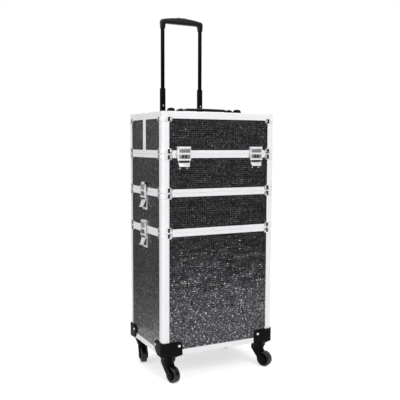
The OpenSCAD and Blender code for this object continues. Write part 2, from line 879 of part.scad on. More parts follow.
module rear_hinge_leaf() {
  color(steel) {
    hinge_leaf(1);
    translate([-hinge_len / 2, split_y, hinge_z]) rotate([0, 90, 0])
      cylinder(r = hinge_pin_r, h = hinge_len);
  }
}

// Nodes of the front half of the lid

module front_lid_panels() {
  color(stone) at_front_lid() lid_panels(front_depth);
}

module front_lid_frame() {
  color(alloy) at_front_lid() lid_frame(front_depth);
}

module front_lid_corners() {
  color(steel) at_front_lid() lid_corners();
}

module front_hinge_leaf() {
  color(steel) hinge_leaf(-1);
}

module front_hasp_leaves() {
  color(steel) for (s = [-1, 1]) front_seam(s) hasp_leaf(latch_w, latch_up);
}

// Anchors that hold the ends of the strap; each is open towards the middle
module handle_anchors() {
  slot_d = strap_d + 4 * latch_gap;
  color(black) for (s = [-1, 1])
    translate([s * (handle_w - anchor_len) / 2, -handle_y, lid_top - face_in]) difference() {
      translate([-anchor_len / 2, -anchor_d / 2, 0]) cube([anchor_len, anchor_d, anchor_tall]);
      translate([-anchor_len / 2 - s * anchor_end, -slot_d / 2, anchor_floor])
        cube([anchor_len, slot_d, anchor_slot]);
    }
}

// Side view of the right half of the strap: flat in the anchor, then rising to the grip
module strap_outline() {
  flat = handle_w / 2 - anchor_len;
  tip = flat + anchor_len / 2;
  top = finger_gap + handle_bar;
  polygon([
    [0, finger_gap], [handle_grip / 2, finger_gap], [flat, 0], [tip, 0], [tip, strap_t],
    [flat, strap_t], [handle_grip / 2, finger_gap + strap_t], [handle_grip / 2, top - strap_t],
    [handle_grip / 2 - strap_t, top], [0, top]
  ]);
}

// Strap handle with a thick grip in the middle
module carry_handle() {
  low = lid_top - face_in + anchor_floor + latch_gap;
  wide = strap_d + 2 * handle_swell;
  color(black) translate([0, -handle_y, low]) {
    for (s = [0, 1]) mirror([s, 0, 0]) translate([0, strap_d / 2, 0]) rotate([90, 0, 0])
      linear_extrude(strap_d) strap_outline();
    translate([-handle_grip / 2, -wide / 2, finger_gap + strap_t / 2])
      cube([handle_grip, wide, handle_bar - 2 * strap_t]);
  }
}

// Lift-out tray with four cells
module makeup_tray() {
  w = 2 * tray_x;
  d = tray_back - tray_front;
  color(black) translate([-tray_x, tray_front, tray_z]) {
    difference() {
      cube([w, d, tray_h]);
      translate([tray_wall, tray_wall, tray_wall])
        cube([w - 2 * tray_wall, d - 2 * tray_wall, tray_h]);
    }
    for (k = [1:3])
      translate([k * w / 4 - tray_wall / 2, 0, 0]) cube([tray_wall, d, tray_h - tray_wall]);
  }
}

// Latch nodes

module hasp_front_left() { front_seam(-1) hasp(latch_w, latch_up, hasp_drop); }
module hasp_front_right() { front_seam(1) hasp(latch_w, latch_up, hasp_drop); }
module hasp_upper_left() { side_seam(-1, z_top) hasp(side_latch_w, side_latch_up, side_hasp_drop); }
module hasp_upper_right() { side_seam(1, z_top) hasp(side_latch_w, side_latch_up, side_hasp_drop); }
module hasp_lower_left() { side_seam(-1, z_middle) hasp(side_latch_w, side_latch_up, side_hasp_drop); }
module hasp_lower_right() { side_seam(1, z_middle) hasp(side_latch_w, side_latch_up, side_hasp_drop); }
module lever_front_left() { front_seam(-1) lever(latch_w, hasp_drop, lever_len); }
module lever_front_right() { front_seam(1) lever(latch_w, hasp_drop, lever_len); }
module lever_upper_left() { side_seam(-1, z_top) lever(side_latch_w, side_hasp_drop, side_lever_len); }
module lever_upper_right() { side_seam(1, z_top) lever(side_latch_w, side_hasp_drop, side_lever_len); }
module lever_lower_left() { side_seam(-1, z_middle) lever(side_latch_w, side_hasp_drop, side_lever_len); }
module lever_lower_right() { side_seam(1, z_middle) lever(side_latch_w, side_hasp_drop, side_lever_len); }

// Trolley nodes that slide

module trolley_mid_tubes() {
  color(black) {
    tubes(mid_w, mid_d, tube_wall, mid_foot, mid_top - collar_h);
    tube_collars(mid_w, mid_d, inner_tube_w, inner_tube_d, mid_top - collar_h, mid_top);
  }
}

module trolley_inner_tubes() {
  color(black) tubes(inner_tube_w, inner_tube_d, tube_wall, inner_foot, grip_foot + socket_depth);
}

// Circle of the radius that rises by arch over half a span, with its crown at z
module arch_disc(half, arch, z) {
  r = (half * half + arch * arch) / (2 * arch);
  translate([0, z - r]) circle(r, $fn = 256);
}

// Arched grip with two sockets for the inner tubes and a pocket for the button
module trolley_grip() {
  gap_half = grip_half - socket_w;
  pocket = button_h + button_press + button_clear;
  color(black) translate([0, tube_y, 0]) difference() {
    translate([0, grip_d / 2, 0]) rotate([90, 0, 0]) linear_extrude(grip_d) difference() {
      intersection() {
        translate([-grip_half, grip_foot]) square([2 * grip_half, grip_h + cut]);
        arch_disc(grip_half, grip_arch, grip_top);
      }
      intersection() {
        translate([-gap_half, grip_foot - cut]) square([2 * gap_half, grip_h]);
        arch_disc(gap_half, grip_gap_arch, grip_top - grip_bar);
      }
    }
    for (s = [-1, 1]) translate([s * tube_x, 0, grip_foot - cut]) linear_extrude(socket_depth + cut)
      oblong(inner_tube_w + 2 * cap_gap, inner_tube_d + 2 * cap_gap);
    translate([-button_w / 2 - latch_gap, -button_d / 2 - latch_gap, grip_top - pocket])
      cube([button_w + 2 * latch_gap, button_d + 2 * latch_gap, pocket + cut]);
  }
}

module trolley_button() {
  color(black) translate([-button_w / 2, tube_y - button_d / 2, grip_top + button_proud - button_h])
    cube([button_w, button_d, button_h]);
}

// Castor nodes

module fork_front_left() { at_swivel(-1, -1, turn_front_left) fork(); }
module fork_front_right() { at_swivel(1, -1, turn_front_right) fork(); }
module fork_rear_left() { at_swivel(-1, 1, turn_rear_left) fork(); }
module fork_rear_right() { at_swivel(1, 1, turn_rear_right) fork(); }
module wheel_front_left() { at_swivel(-1, -1, turn_front_left) wheel(); }
module wheel_front_right() { at_swivel(1, -1, turn_front_right) wheel(); }
module wheel_rear_left() { at_swivel(-1, 1, turn_rear_left) wheel(); }
module wheel_rear_right() { at_swivel(1, 1, turn_rear_right) wheel(); }

bottom_panels();
bottom_frame();
bottom_corners();
bottom_lining();
bottom_latch_plates();
castor_brackets();
trolley_tubes();
trolley_collars();
trolley_brackets();
middle_panels();
middle_frame();
middle_corners();
middle_lining();
middle_dividers();
middle_latch_mounts();
top_panels();
top_frame();
top_corners();
top_lining();
top_latch_mounts();
tray_ledges();
rear_lid_panels();
rear_lid_frame();
rear_lid_corners();
rear_hinge_leaf();
front_lid_panels();
front_lid_frame();
front_lid_corners();
front_hinge_leaf();
front_hasp_leaves();
handle_anchors();
carry_handle();
makeup_tray();
hasp_front_left();
hasp_front_right();
hasp_upper_left();
hasp_upper_right();
hasp_lower_left();
hasp_lower_right();
lever_front_left();
lever_front_right();
lever_upper_left();
lever_upper_right();
lever_lower_left();
lever_lower_right();
trolley_mid_tubes();
trolley_inner_tubes();
trolley_grip();
trolley_button();
fork_front_left();
fork_front_right();
fork_rear_left();
fork_rear_right();
wheel_front_left();
wheel_front_right();
wheel_rear_left();
wheel_rear_right();
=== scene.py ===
"""Rolling makeup case: stone-faced boxes in aluminium edging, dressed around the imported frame."""

import json
import logging
import math
from contextlib import contextmanager
from dataclasses import dataclass, field
from enum import Enum
from typing import Any, Callable, Iterable, Iterator, Sequence

import bpy
import numpy as np
from mathutils import Matrix, Vector

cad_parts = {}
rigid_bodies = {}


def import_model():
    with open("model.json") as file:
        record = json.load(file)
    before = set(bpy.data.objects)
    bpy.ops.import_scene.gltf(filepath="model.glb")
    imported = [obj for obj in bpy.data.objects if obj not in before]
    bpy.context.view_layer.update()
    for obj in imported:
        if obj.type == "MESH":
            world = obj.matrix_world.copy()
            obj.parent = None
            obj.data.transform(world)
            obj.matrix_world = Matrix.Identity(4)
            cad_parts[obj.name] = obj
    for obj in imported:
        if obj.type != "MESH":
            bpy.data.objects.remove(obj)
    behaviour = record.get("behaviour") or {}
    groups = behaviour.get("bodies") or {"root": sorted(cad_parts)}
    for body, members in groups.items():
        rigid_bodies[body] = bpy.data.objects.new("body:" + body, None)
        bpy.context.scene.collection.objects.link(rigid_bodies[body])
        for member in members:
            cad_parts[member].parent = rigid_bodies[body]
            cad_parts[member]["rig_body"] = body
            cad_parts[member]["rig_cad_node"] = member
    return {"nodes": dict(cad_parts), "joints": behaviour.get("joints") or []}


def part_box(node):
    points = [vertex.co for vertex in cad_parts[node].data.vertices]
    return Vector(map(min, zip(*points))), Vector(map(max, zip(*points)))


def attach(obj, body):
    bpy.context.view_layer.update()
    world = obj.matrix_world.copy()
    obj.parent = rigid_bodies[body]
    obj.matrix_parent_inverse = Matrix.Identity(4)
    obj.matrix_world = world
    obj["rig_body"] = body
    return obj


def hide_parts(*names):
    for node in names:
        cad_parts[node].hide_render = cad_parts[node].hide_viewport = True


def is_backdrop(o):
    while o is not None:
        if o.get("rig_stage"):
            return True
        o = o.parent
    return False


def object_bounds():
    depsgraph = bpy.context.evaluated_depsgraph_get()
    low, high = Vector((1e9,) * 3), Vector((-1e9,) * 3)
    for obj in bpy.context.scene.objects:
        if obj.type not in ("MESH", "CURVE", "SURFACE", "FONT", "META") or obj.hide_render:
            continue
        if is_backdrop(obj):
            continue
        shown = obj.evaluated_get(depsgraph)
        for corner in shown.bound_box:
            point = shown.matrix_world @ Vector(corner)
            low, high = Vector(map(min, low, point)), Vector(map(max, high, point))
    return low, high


Object = bpy.types.Object
Material = bpy.types.Material
NodeTree = bpy.types.NodeTree
Node = bpy.types.Node
Socket = bpy.types.NodeSocket
Point = tuple[float, float]
Colour = tuple[float, float, float]
Drawing = tuple[Point, ...]
Value = Socket | float | Colour

MM = 0.001
SEED = 41
MERGE = 0.004 * MM
FLAT_ANGLE = math.radians(0.5)
SOFT_ANGLE = math.radians(35.0)
# Edges flatter than this, in degrees, are shaded smooth: as a rule, on pieces that were cut, and on fine work
SMOOTH_BELOW, CUT_BELOW, FINE_BELOW = 40.0, 35.0, 30.0
# Signs of left and right, or of front and rear
BOTH_SIDES = (-1.0, 1.0)
UP = Vector((0.0, 0.0, 1.0))
WHITE: Colour = (1.0, 1.0, 1.0)
LOG = logging.getLogger("makeup_case")


class Slot(Enum):
    """Material slots of the record."""

    STONE = "stone_panel"
    EDGING = "edging"
    STEEL = "bright_steel"
    PLASTIC = "black_plastic"
    TUBE = "black_tube"
    LINING = "lining"
    STRAP = "strap"
    TREAD = "tread"


class Look(Enum):
    """Finishes, some of which share a slot."""

    STONE = "cut_stones"
    BOARD = "panel_board"
    EDGING = "satin_aluminium"
    STEEL = "plated_steel"
    # Chrome of the cap bosses, also laid as painted dark reflection on the discs under them and on the hasps'
    # flat fields
    CAP = "plated_caps"
    # Painted shadow and dark reflection: thin sheets and rings over the steel, and the front latches' mounts
    PLATE = "dark_plates"
    PLASTIC = "moulded_plastic"
    TUBE = "anodised_tube"
    VELVET = "short_velvet"
    GRIP = "soft_grip"
    TREAD = "wheel_tread"


class Side(Enum):
    """Left and right of the case, seen from the front."""

    LEFT = -1
    RIGHT = 1


# Turns that lay a shape's own +Z axis along another direction
TO_FRONT = Matrix.Rotation(math.pi / 2, 4, "X")
TO_BACK = Matrix.Rotation(-math.pi / 2, 4, "X")
TO_LEFT = Matrix.Rotation(-math.pi / 2, 4, "Y")
TO_RIGHT = Matrix.Rotation(math.pi / 2, 4, "Y")
# Lays an outline drawn across (inward, up) along X
ALONG_X = Matrix(((0, 0, 1, 0), (1, 0, 0, 0), (0, 1, 0, 0), (0, 0, 0, 1)))


def turned(degrees: float) -> Matrix:
    """A turn about the vertical."""
    return Matrix.Rotation(math.radians(degrees), 4, "Z")


def shifted(x: float, y: float, z: float) -> Matrix:
    """A move without a turn."""
    return Matrix.Translation((x, y, z))


def take(piece: Object) -> None:
    """Selects one piece alone and makes it active.

    Args:
        piece: The piece.
    """
    bpy.ops.object.select_all(action="DESELECT")
    piece.select_set(True)
    bpy.context.view_layer.objects.active = piece


@contextmanager
def editing(piece: Object, mode: str = "FACE") -> Iterator[None]:
    """Holds a piece in edit mode with everything on it selected.

    Args:
        piece: The piece to edit.
        mode: What is selected: VERT, EDGE or FACE.
    """
    take(piece)
    bpy.ops.object.mode_set(mode="EDIT")
    bpy.ops.mesh.select_mode(type=mode)
    bpy.ops.mesh.select_all(action="SELECT")
    yield
    bpy.ops.object.mode_set(mode="OBJECT")


def turn_outwards() -> None:
    """Turns every face of the piece in edit mode outwards."""
    bpy.ops.mesh.select_all(action="SELECT")
    bpy.ops.mesh.normals_make_consistent(inside=False)


def fresh(name: str) -> Object:
    """Names the active piece and its mesh.

    Args:
        name: The name.

    Returns:
        The piece.
    """
    piece = bpy.context.object
    piece.name = name
    piece.data.name = name
    return piece


def started(name: str, primitive: Callable[..., set[str]], **settings: object) -> Object:
    """Adds a primitive while nothing else is selected.

    Args:
        name: The new piece's name.
        primitive: The operator that adds it.
        **settings: The operator's settings.

    Returns:
        The new piece.
    """
    bpy.ops.object.select_all(action="DESELECT")
    primitive(**settings)
    return fresh(name)


def lay(piece: Object, points: Iterable[Sequence[float]]) -> None:
    """Lays a piece's vertices on points, in their order."""
    for vertex, point in zip(piece.data.vertices, points):
        vertex.co = point


def smoothed(piece: Object, degrees: float = SMOOTH_BELOW) -> Object:
    """Shades a piece smooth, apart from its sharper edges.

    Args:
        piece: The piece to shade.
        degrees: Edges flatter than this become smooth.

    Returns:
        The same piece.
    """
    take(piece)
    bpy.ops.object.shade_smooth_by_angle(angle=math.radians(degrees))
    return piece


def moved(piece: Object, place: Matrix) -> Object:
    """Puts a piece in its place and writes that place into its mesh.

    Args:
        piece: The piece to move.
        place: Where it goes.

    Returns:
        The same piece.
    """
    take(piece)
    piece.matrix_world = place
    bpy.ops.object.transform_apply(location=True, rotation=True, scale=True)
    return piece


def copied(piece: Object, name: str, place: Matrix | None = None) -> Object:
    """Copies a piece with a mesh of its own.

    Args:
        piece: The piece to copy.
        name: The copy's name.
        place: Where the copy is moved to, or None to leave it.

    Returns:
        The copy.
    """
    take(piece)
    bpy.ops.object.duplicate(linked=False)
    copy = fresh(name)
    return moved(copy, place) if place else copy


def joined(name: str, pieces: Sequence[Object]) -> Object:
    """Joins pieces into one.

    Args:
        name: The joined piece's name.
        pieces: The pieces, of which the first takes in the others.

    Returns:
        The joined piece.
    """
    take(pieces[0])
    for piece in pieces[1:]:
        piece.select_set(True)
    if len(pieces) > 1:
        bpy.ops.object.join()
    return fresh(name)


def discard(piece: Object) -> None:
    """Deletes a pattern piece that has been copied."""
    take(piece)
    bpy.ops.object.delete()


def placed(name: str, pattern: Object, places: Sequence[Matrix]) -> Object:
    """Copies a pattern to several places and joins the copies.

    Args:
        name: The joined piece's name.
        pattern: The piece that is copied and then deleted.
        places: Where the copies go.

    Returns:
        The joined copies.
    """
    copies = [copied(pattern, f"{name}_{k}", place) for k, place in enumerate(places)]
    discard(pattern)
    return joined(name, copies)


def applied(piece: Object, kind: str, **settings: object) -> None:
    """Adds a modifier and applies it.

    Args:
        piece: The piece to change.
        kind: The modifier's type.
        **settings: Its settings.
    """
    take(piece)
    modifier = piece.modifiers.new(kind.lower(), kind)
    for key, value in settings.items():
        setattr(modifier, key, value)
    bpy.ops.object.modifier_apply(modifier=modifier.name)


def rounded(piece: Object, width: float, segments: int = 2) -> Object:
    """Rounds a piece's sharp edges by a width, with some faces across each, and returns it."""
    applied(piece, "BEVEL", width=width, segments=segments, limit_method="ANGLE", angle_limit=SOFT_ANGLE)
    return smoothed(piece)


def cut_away(piece: Object, tool: Object) -> Object:
    """Cuts one closed piece out of another and deletes it.

    Args:
        piece: The piece that is cut.
        tool: The piece that is cut out of it.

    Returns:
        The cut piece.
    """
    applied(piece, "BOOLEAN", operation="DIFFERENCE", solver="EXACT", object=tool)
    discard(tool)
    return piece


def block(name: str, low: Sequence[float], high: Sequence[float]) -> Object:
    """A box between two corners.

    Args:
        name: The box's name.
        low: Its lowest corner.
        high: Its highest corner.

    Returns:
        The box.
    """
    low, high = Vector(low), Vector(high)
    piece = started(name, bpy.ops.mesh.primitive_cube_add, size=1.0)
    with editing(piece):
        bpy.ops.transform.resize(value=tuple(high - low))
        bpy.ops.transform.translate(value=tuple((low + high) / 2))
    return piece


def extruded(name: str, outline: Sequence[Point], depth: float) -> Object:
    """A prism: an outline in the XY plane, extruded along +Z.

    Args:
        name: The prism's name.
        outline: Points round the outline.
        depth: How far it is extruded.

    Returns:
        The prism.
    """
    piece = started(name, bpy.ops.mesh.primitive_circle_add, vertices=len(outline), fill_type="NGON")
    lay(piece, ((x, y, 0.0) for x, y in outline))
    with editing(piece):
        bpy.ops.mesh.extrude_region_move(TRANSFORM_OT_translate={"value": (0.0, 0.0, depth)})
        turn_outwards()
    return piece


def spun(name: str, profile: Sequence[Point], steps: int = 24) -> Object:
    """A turned piece: a profile of (radius, height) points, spun about +Z.

    Args:
        name: The piece's name.
        profile: Points round the closed half section.
        steps: Faces round the axis.

    Returns:
        The piece, closed at its poles.
    """
    piece = started(name, bpy.ops.mesh.primitive_circle_add, vertices=len(profile), fill_type="NOTHING")
    lay(piece, ((radius, 0.0, height) for radius, height in profile))
    with editing(piece, "VERT"):
        bpy.ops.mesh.spin(steps=steps, angle=math.tau, center=(0.0, 0.0, 0.0), axis=UP)
        bpy.ops.mesh.select_all(action="SELECT")
        bpy.ops.mesh.remove_doubles(threshold=MERGE)
        bpy.ops.mesh.dissolve_degenerate(threshold=MERGE)
        bpy.ops.mesh.select_all(action="SELECT")
        bpy.ops.mesh.delete_loose(use_verts=True, use_edges=True, use_faces=False)
        turn_outwards()
    return smoothed(piece)


def scaled(shape: Sequence[Point], across: float, up: float) -> list[Point]:
    """A drawing in shares of a width and a height, brought to its size."""
    return [(x * across, y * up) for x, y in shape]


def drawn(shape: Sequence[Point], x: float, z: float) -> list[Point]:
    """A drawing in millimetres from a point, brought to its place."""
    return [(x + across * MM, z + up * MM) for across, up in shape]


def headed(name: str, radius: float, tall: float, foot: float, shape: Sequence[Point],
           steps: int = 16) -> Object:
    """A round head on z = 0, sunk by its foot, with its side drawn in shares of radius and height."""
    side = [(0.0, -foot), (radius, -foot), *scaled(shape, radius, tall), (0.0, tall)]
    return spun(name, side, steps)


def rod(name: str, radius: float, half: float, end: Sequence[Point], steps: int) -> Object:
    """A round rod along Z about the origin, its end drawn in shares of the radius, across and inwards."""
    low = [(0.0, -half)] + [(radius * across, radius * inward - half) for across, inward in end]
    return spun(name, low + [(x, -z) for x, z in reversed(low)], steps)


def lofted(name: str, rings: Sequence[Sequence[Vector]]) -> Object:
    """A closed skin through rings that all have the same number of points.

    Args:
        name: The piece's name.
        rings: The rings, from end to end.

    Returns:
        The piece, with both ends filled.
    """
    columns = len(rings[0])
    piece = started(name, bpy.ops.mesh.primitive_grid_add, x_subdivisions=columns,
                    y_subdivisions=len(rings) - 1)
    lay(piece, (ring[k % columns] for ring in rings for k in range(columns + 1)))
    with editing(piece, "VERT"):
        bpy.ops.mesh.remove_doubles(threshold=MERGE)
        bpy.ops.mesh.select_all(action="SELECT")
        bpy.ops.mesh.fill_holes(sides=0)
        turn_outwards()
    return smoothed(piece)


def arc(centre: Point, radius: float, start: float, end: float, steps: int = 6) -> list[Point]:
    """Points along an arc from one angle to another, in degrees, with both ends."""
    angles = [math.radians(start + (end - start) * k / steps) for k in range(steps + 1)]
    return [(centre[0] + radius * math.cos(a), centre[1] + radius * math.sin(a)) for a in angles]


def oval(centre: Vector, across: Vector, up: Vector, power: float, count: int = 24) -> list[Vector]:
    """A ring between an ellipse and a rectangle.

    Args:
        centre: Its middle.
        across: Half of its width, as a vector.
        up: Half of its height, as a vector.
        power: 2 for an ellipse, more for squarer sides.
        count: Points round it.

    Returns:
        The ring's points.
    """
    ring = []
    for k in range(count):
        angle = math.tau * k / count
        c, s = math.cos(angle), math.sin(angle)
        u = math.copysign(abs(c) ** (2.0 / power), c)
        v = math.copysign(abs(s) ** (2.0 / power), s)
        ring.append(centre + across * u + up * v)
    return ring


def rounded_box(low: Point, high: Point, radii: Sequence[float], z: float, steps: int = 7) -> list[Vector]:
    """A level ring: a rectangle with its own radius at each corner.

    Args:
        low: Lowest corner.
        high: Highest corner.
        radii: Corner radii, from the lowest corner round by way of high x.
        z: Height of the ring.
        steps: Stretches round each corner.

    Returns:
        The ring's points.
    """
    ring = []
    for k, radius in enumerate(radii):
        x = low[0] + radius if k in (0, 3) else high[0] - radius
        y = low[1] + radius if k < 2 else high[1] - radius
        start = 180.0 + 90.0 * k
        ring += [Vector((px, py, z)) for px, py in arc((x, y), radius, start, start + 90.0, steps)]
    return ring


def ease(value: float) -> float:
    """Smooth step from 0 to 1."""
    value = min(1.0, max(0.0, value))
    return value * value * (3.0 - 2.0 * value)


def marked(piece: Object, name: str, value: float | np.ndarray) -> Object:
    """Writes a number on every face of a piece, for its finish to read.

    Args:
        piece: The piece to mark.
        name: The attribute's name.
        value: One number for all faces, or one for each.

    Returns:
        The same piece.
    """
    layer = piece.data.attributes.new(name, "FLOAT", "FACE")
    layer.data.foreach_set("value", np.full(len(piece.data.polygons), value, dtype=np.float32))
    return piece


def vectors(items: bpy.types.bpy_prop_collection, key: str) -> np.ndarray:
    """Reads one vector of every point or face of a mesh.

    Args:
        items: The points or faces.
        key: Which of their vectors.

    Returns:
        One row for each.
    """
    values = np.empty(len(items) * 3)
    items.foreach_get(key, values)
    return values.reshape(-1, 3)


@dataclass(frozen=True)
class NodeDesk:
    """Places nodes in one tree and links them."""

    tree: NodeTree

    def add(self, kind: str, values: dict[str | int, Value] | None = None, **settings: object) -> Node:
        """Adds a node.

        Args:
            kind: The node's type name.
            values: What feeds its inputs, by name or number.
            **settings: Properties to set on it first.

        Returns:
            The node.
        """
        node = self.tree.nodes.new(kind)
        for key, value in settings.items():
            setattr(node, key, value)
        self.fill(node, values or {})
        return node

    def link(self, source: Socket, target: Socket) -> None:
        """Links an output to an input."""
        self.tree.links.new(source, target)

    def fill(self, node: Node, values: dict[str | int, Value]) -> None:
        """Links outputs to a node's inputs, or sets them to numbers and colours.

        Args:
            node: The node.
            values: What feeds its inputs, by name or number.
        """
        for key, value in values.items():
            if isinstance(value, Socket):
                self.link(value, node.inputs[key])
            else:
                node.inputs[key].default_value = (*value, 1.0) if isinstance(value, tuple) else value

    def math(self, operation: str, first: Value, second: Value) -> Socket:
        """Adds a Math node of two operands."""
        return self.add("ShaderNodeMath", {0: first, 1: second}, operation=operation).outputs[0]

    def blend(self, factor: Socket, low: Value, high: Value) -> Socket:
        """Mixes two colours: the low one where the factor is 0, the high one where it is 1."""
        return self.add("ShaderNodeMix", {0: factor, 6: low, 7: high}, data_type="RGBA").outputs[2]

    def pick(self, factor: Socket, low: Value, high: Value) -> Socket:
        """Mixes two numbers: the low one where the factor is 0, the high one where it is 1."""
        return self.add("ShaderNodeMix", {0: factor, 2: low, 3: high}, data_type="FLOAT").outputs[0]

    def spread(self, value: Socket, low: Value, high: Value) -> Socket:
        """Maps a value from 0..1 to low..high."""
        node = self.add("ShaderNodeMapRange", {"Value": value, "To Min": low, "To Max": high})
        return node.outputs["Result"]

    def noise(self, where: Socket, scale: Value, detail: float) -> Socket:
        """Adds a noise that reads some coordinates."""
        node = self.add("ShaderNodeTexNoise", {"Vector": where, "Scale": scale, "Detail": detail})
        return node.outputs["Fac"]

    def where(self) -> Socket:
        """Coordinates of the piece itself."""
        return self.add("ShaderNodeTexCoord").outputs["Object"]


def new_material(name: str) -> tuple[Material, NodeDesk, Node]:
    """Starts a material.

    Args:
        name: The material's name.

    Returns:
        The material, the desk for its nodes and its shader.
    """
    material = bpy.data.materials.new(name)
    material.use_nodes = True
    return material, NodeDesk(material.node_tree), material.node_tree.nodes["Principled BSDF"]


@dataclass(frozen=True)
class SharedEffects:
    """Node groups that several finishes use."""

    patina_detail: float = 5.0
    patina_ends: Point = (-1.0, 2.0)
    drift_share: float = 0.5
    speckle_ratio: float = 14.0
    brush_detail: float = 2.0
    brush_long: float = 6.0
    brush_fine: float = 900.0
    colour: str = "NodeSocketColor"
    number: str = "NodeSocketFloat"

    def _group(self, name: str, inputs: dict[str, str],
               outputs: dict[str, str]) -> tuple[NodeDesk, Node, Node]:
        """Starts a group with named sockets.

        Args:
            name: The group's name.
            inputs: Socket types by name.
            outputs: Socket types by name.

        Returns:
            The desk for its nodes, its input node and its output node.
        """
        tree = bpy.data.node_groups.new(name, "ShaderNodeTree")
        for way, sockets in (("INPUT", inputs), ("OUTPUT", outputs)):
            for key, kind in sockets.items():
                tree.interface.new_socket(name=key, in_out=way, socket_type=kind)
        desk = NodeDesk(tree)
        return desk, desk.add("NodeGroupInput"), desk.add("NodeGroupOutput")

    def patina(self) -> None:
        """Slow drift and fine speckle of a colour and a roughness."""
        desk, given, out = self._group(
            "patina",
            {"Dark": self.colour, "Light": self.colour, "Scale": self.number, "Rough Low": self.number,
             "Rough High": self.number},
            {"Color": self.colour, "Roughness": self.number},
        )
        where, scale = desk.where(), given.outputs["Scale"]
        drift = desk.noise(where, scale, self.patina_detail)
        speckle = desk.noise(where, desk.math("MULTIPLY", scale, self.speckle_ratio), self.patina_detail)
        both = desk.math("MULTIPLY", desk.math("ADD", drift, speckle), self.drift_share)
        tone = desk.blend(desk.spread(both, *self.patina_ends), given.outputs["Dark"], given.outputs["Light"])
        rough = desk.spread(speckle, given.outputs["Rough Low"], given.outputs["Rough High"])
        desk.fill(out, {"Color": tone, "Roughness": rough})

    def grain(self) -> None:
        """Fine moulded grain, as a height."""
        desk, given, out = self._group("grain", {"Scale": self.number}, {"Height": self.number})
        cells = desk.add("ShaderNodeTexVoronoi", {"Vector": desk.where(), "Scale": given.outputs["Scale"]},
                         feature="SMOOTH_F1")
        desk.link(cells.outputs["Distance"], out.inputs["Height"])

    def brushing(self) -> None:
        """Fine lines drawn along an extrusion, as a height; the upright attribute says which way it runs."""
        desk, given, out = self._group("brushing", {"Scale": self.number}, {"Height": self.number})
        where = desk.where()
        upright = desk.add("ShaderNodeAttribute", attribute_name="upright").outputs["Fac"]
        lines = []
        for stretch in ((self.brush_long, self.brush_long, self.brush_fine),
                        (self.brush_fine, self.brush_fine, self.brush_long)):
            along = desk.add("ShaderNodeVectorMath", {0: where}, operation="MULTIPLY")
            along.inputs[1].default_value = stretch
            lines.append(desk.noise(along.outputs[0], given.outputs["Scale"], self.brush_detail))
        desk.link(desk.pick(upright, *lines), out.inputs["Height"])


@dataclass(frozen=True)
class Finish:
    """A surface finish: two tones, a range of gloss and a fine relief."""

    look: Look
    dark: Colour
    light: Colour
    rough: Point
    scale: float = 30.0
    metallic: float = 0.0
    specular: float = 0.5
    ior: float = 1.5
    tint: Colour = WHITE
    relief: float = 0.0
    relief_scale: float = 900.0
    relief_depth: float = 0.1 * MM
    relief_group: str = "grain"
    sheen: float = 0.0

    def _start(self) -> tuple[Material, NodeDesk, Node]:
        """Makes the material with its plain values.

        Returns:
            The material, the desk for its nodes and its shader.
        """
        material, desk, shader = new_material(self.look.value)
        material.diffuse_color = (*self.light, 1.0)
        desk.fill(shader, {"Metallic": self.metallic, "Specular IOR Level": self.specular, "IOR": self.ior,
                           "Specular Tint": self.tint, "Sheen Weight": self.sheen})
        return material, desk, shader

    def _relief(self, desk: NodeDesk, shader: Node) -> None:
        """Gives the surface its fine relief.

        Args:
            desk: The desk of the material.
            shader: Its shader.
        """
        group = desk.add("ShaderNodeGroup", {"Scale": self.relief_scale},
                         node_tree=bpy.data.node_groups[self.relief_group])
        bump = desk.add("ShaderNodeBump", {"Strength": self.relief, "Distance": self.relief_depth,
                                           "Height": group.outputs["Height"]})
        desk.link(bump.outputs["Normal"], shader.inputs["Normal"])

    def build(self) -> Material:
        """Makes the material.

        Returns:
            The material.
        """
        material, desk, shader = self._start()
        values = {"Dark": self.dark, "Light": self.light, "Scale": self.scale, "Rough Low": self.rough[0],
                  "Rough High": self.rough[1]}
        patina = desk.add("ShaderNodeGroup", values, node_tree=bpy.data.node_groups["patina"])
        desk.fill(shader, {"Base Color": patina.outputs["Color"], "Roughness": patina.outputs["Roughness"]})
        if self.relief:
            self._relief(desk, shader)
        return material


@dataclass(frozen=True)
class StoneFinish(Finish):
    """Cut stones, by three attributes: a facet's tone, edge on its sloped rim, and its run along a row; the
    lightest stones carry painted sparkle and the rims painted glints along the runs.
    """

    foil_from: float = 0.72
    foil_step: float = 0.002
    # The lightest stones turn near white: painted sparkle, on top of their mirror
    bright_from: float = 0.97
    foil: float = 0.8
    foil_low: Colour = (0.07, 0.067, 0.073)
    foil_high: Colour = (0.29, 0.284, 0.298)
    bright: Colour = (0.78, 0.77, 0.79)
    # Colours of the stones' sloped rims, from their own near-black to a painted glint
    setting_and_glint: tuple[Colour, Colour] = ((0.009, 0.0087, 0.0094), (0.108, 0.105, 0.112))
    run_share: float = 0.60

    def build(self) -> Material:
        """Makes the material.

        Returns:
            The material.
        """
        material, desk, shader = self._start()
        tone, edge, run = (desk.add("ShaderNodeAttribute", attribute_name=f"stone_{name}").outputs["Fac"]
                           for name in ("tone", "edge", "run"))
        ramp = desk.add("ShaderNodeValToRGB", {"Fac": tone})
        stops = ramp.color_ramp.elements
        stops[0].position, stops[0].color = 0.0, (*self.dark, 1.0)
        stops[1].position, stops[1].color = self.foil_from, (*self.light, 1.0)
        for position, colour in ((self.foil_from + self.foil_step, self.foil_low),
                                 (self.bright_from, self.foil_high), (1.0, self.bright)):
            stops.new(position).color = (*colour, 1.0)
        # Painted glint: the sloped rims are lighter along runs of stones that lean together, and on lighter
        # facets
        glint = desk.math("ADD", desk.math("MULTIPLY", run, self.run_share),
                          desk.math("MULTIPLY", tone, 1.0 - self.run_share))
        rim = desk.blend(desk.math("MULTIPLY", glint, glint), *self.setting_and_glint)
        bare = desk.math("MULTIPLY", desk.math("SUBTRACT", 1.0, edge), self.foil)
        foiled = desk.math("MULTIPLY", desk.math("GREATER_THAN", tone, self.foil_from), bare)
        desk.fill(shader, {"Base Color": desk.blend(edge, ramp.outputs["Color"], rim), "Metallic": foiled,
                           "Roughness": desk.spread(tone, *self.rough)})
        return material


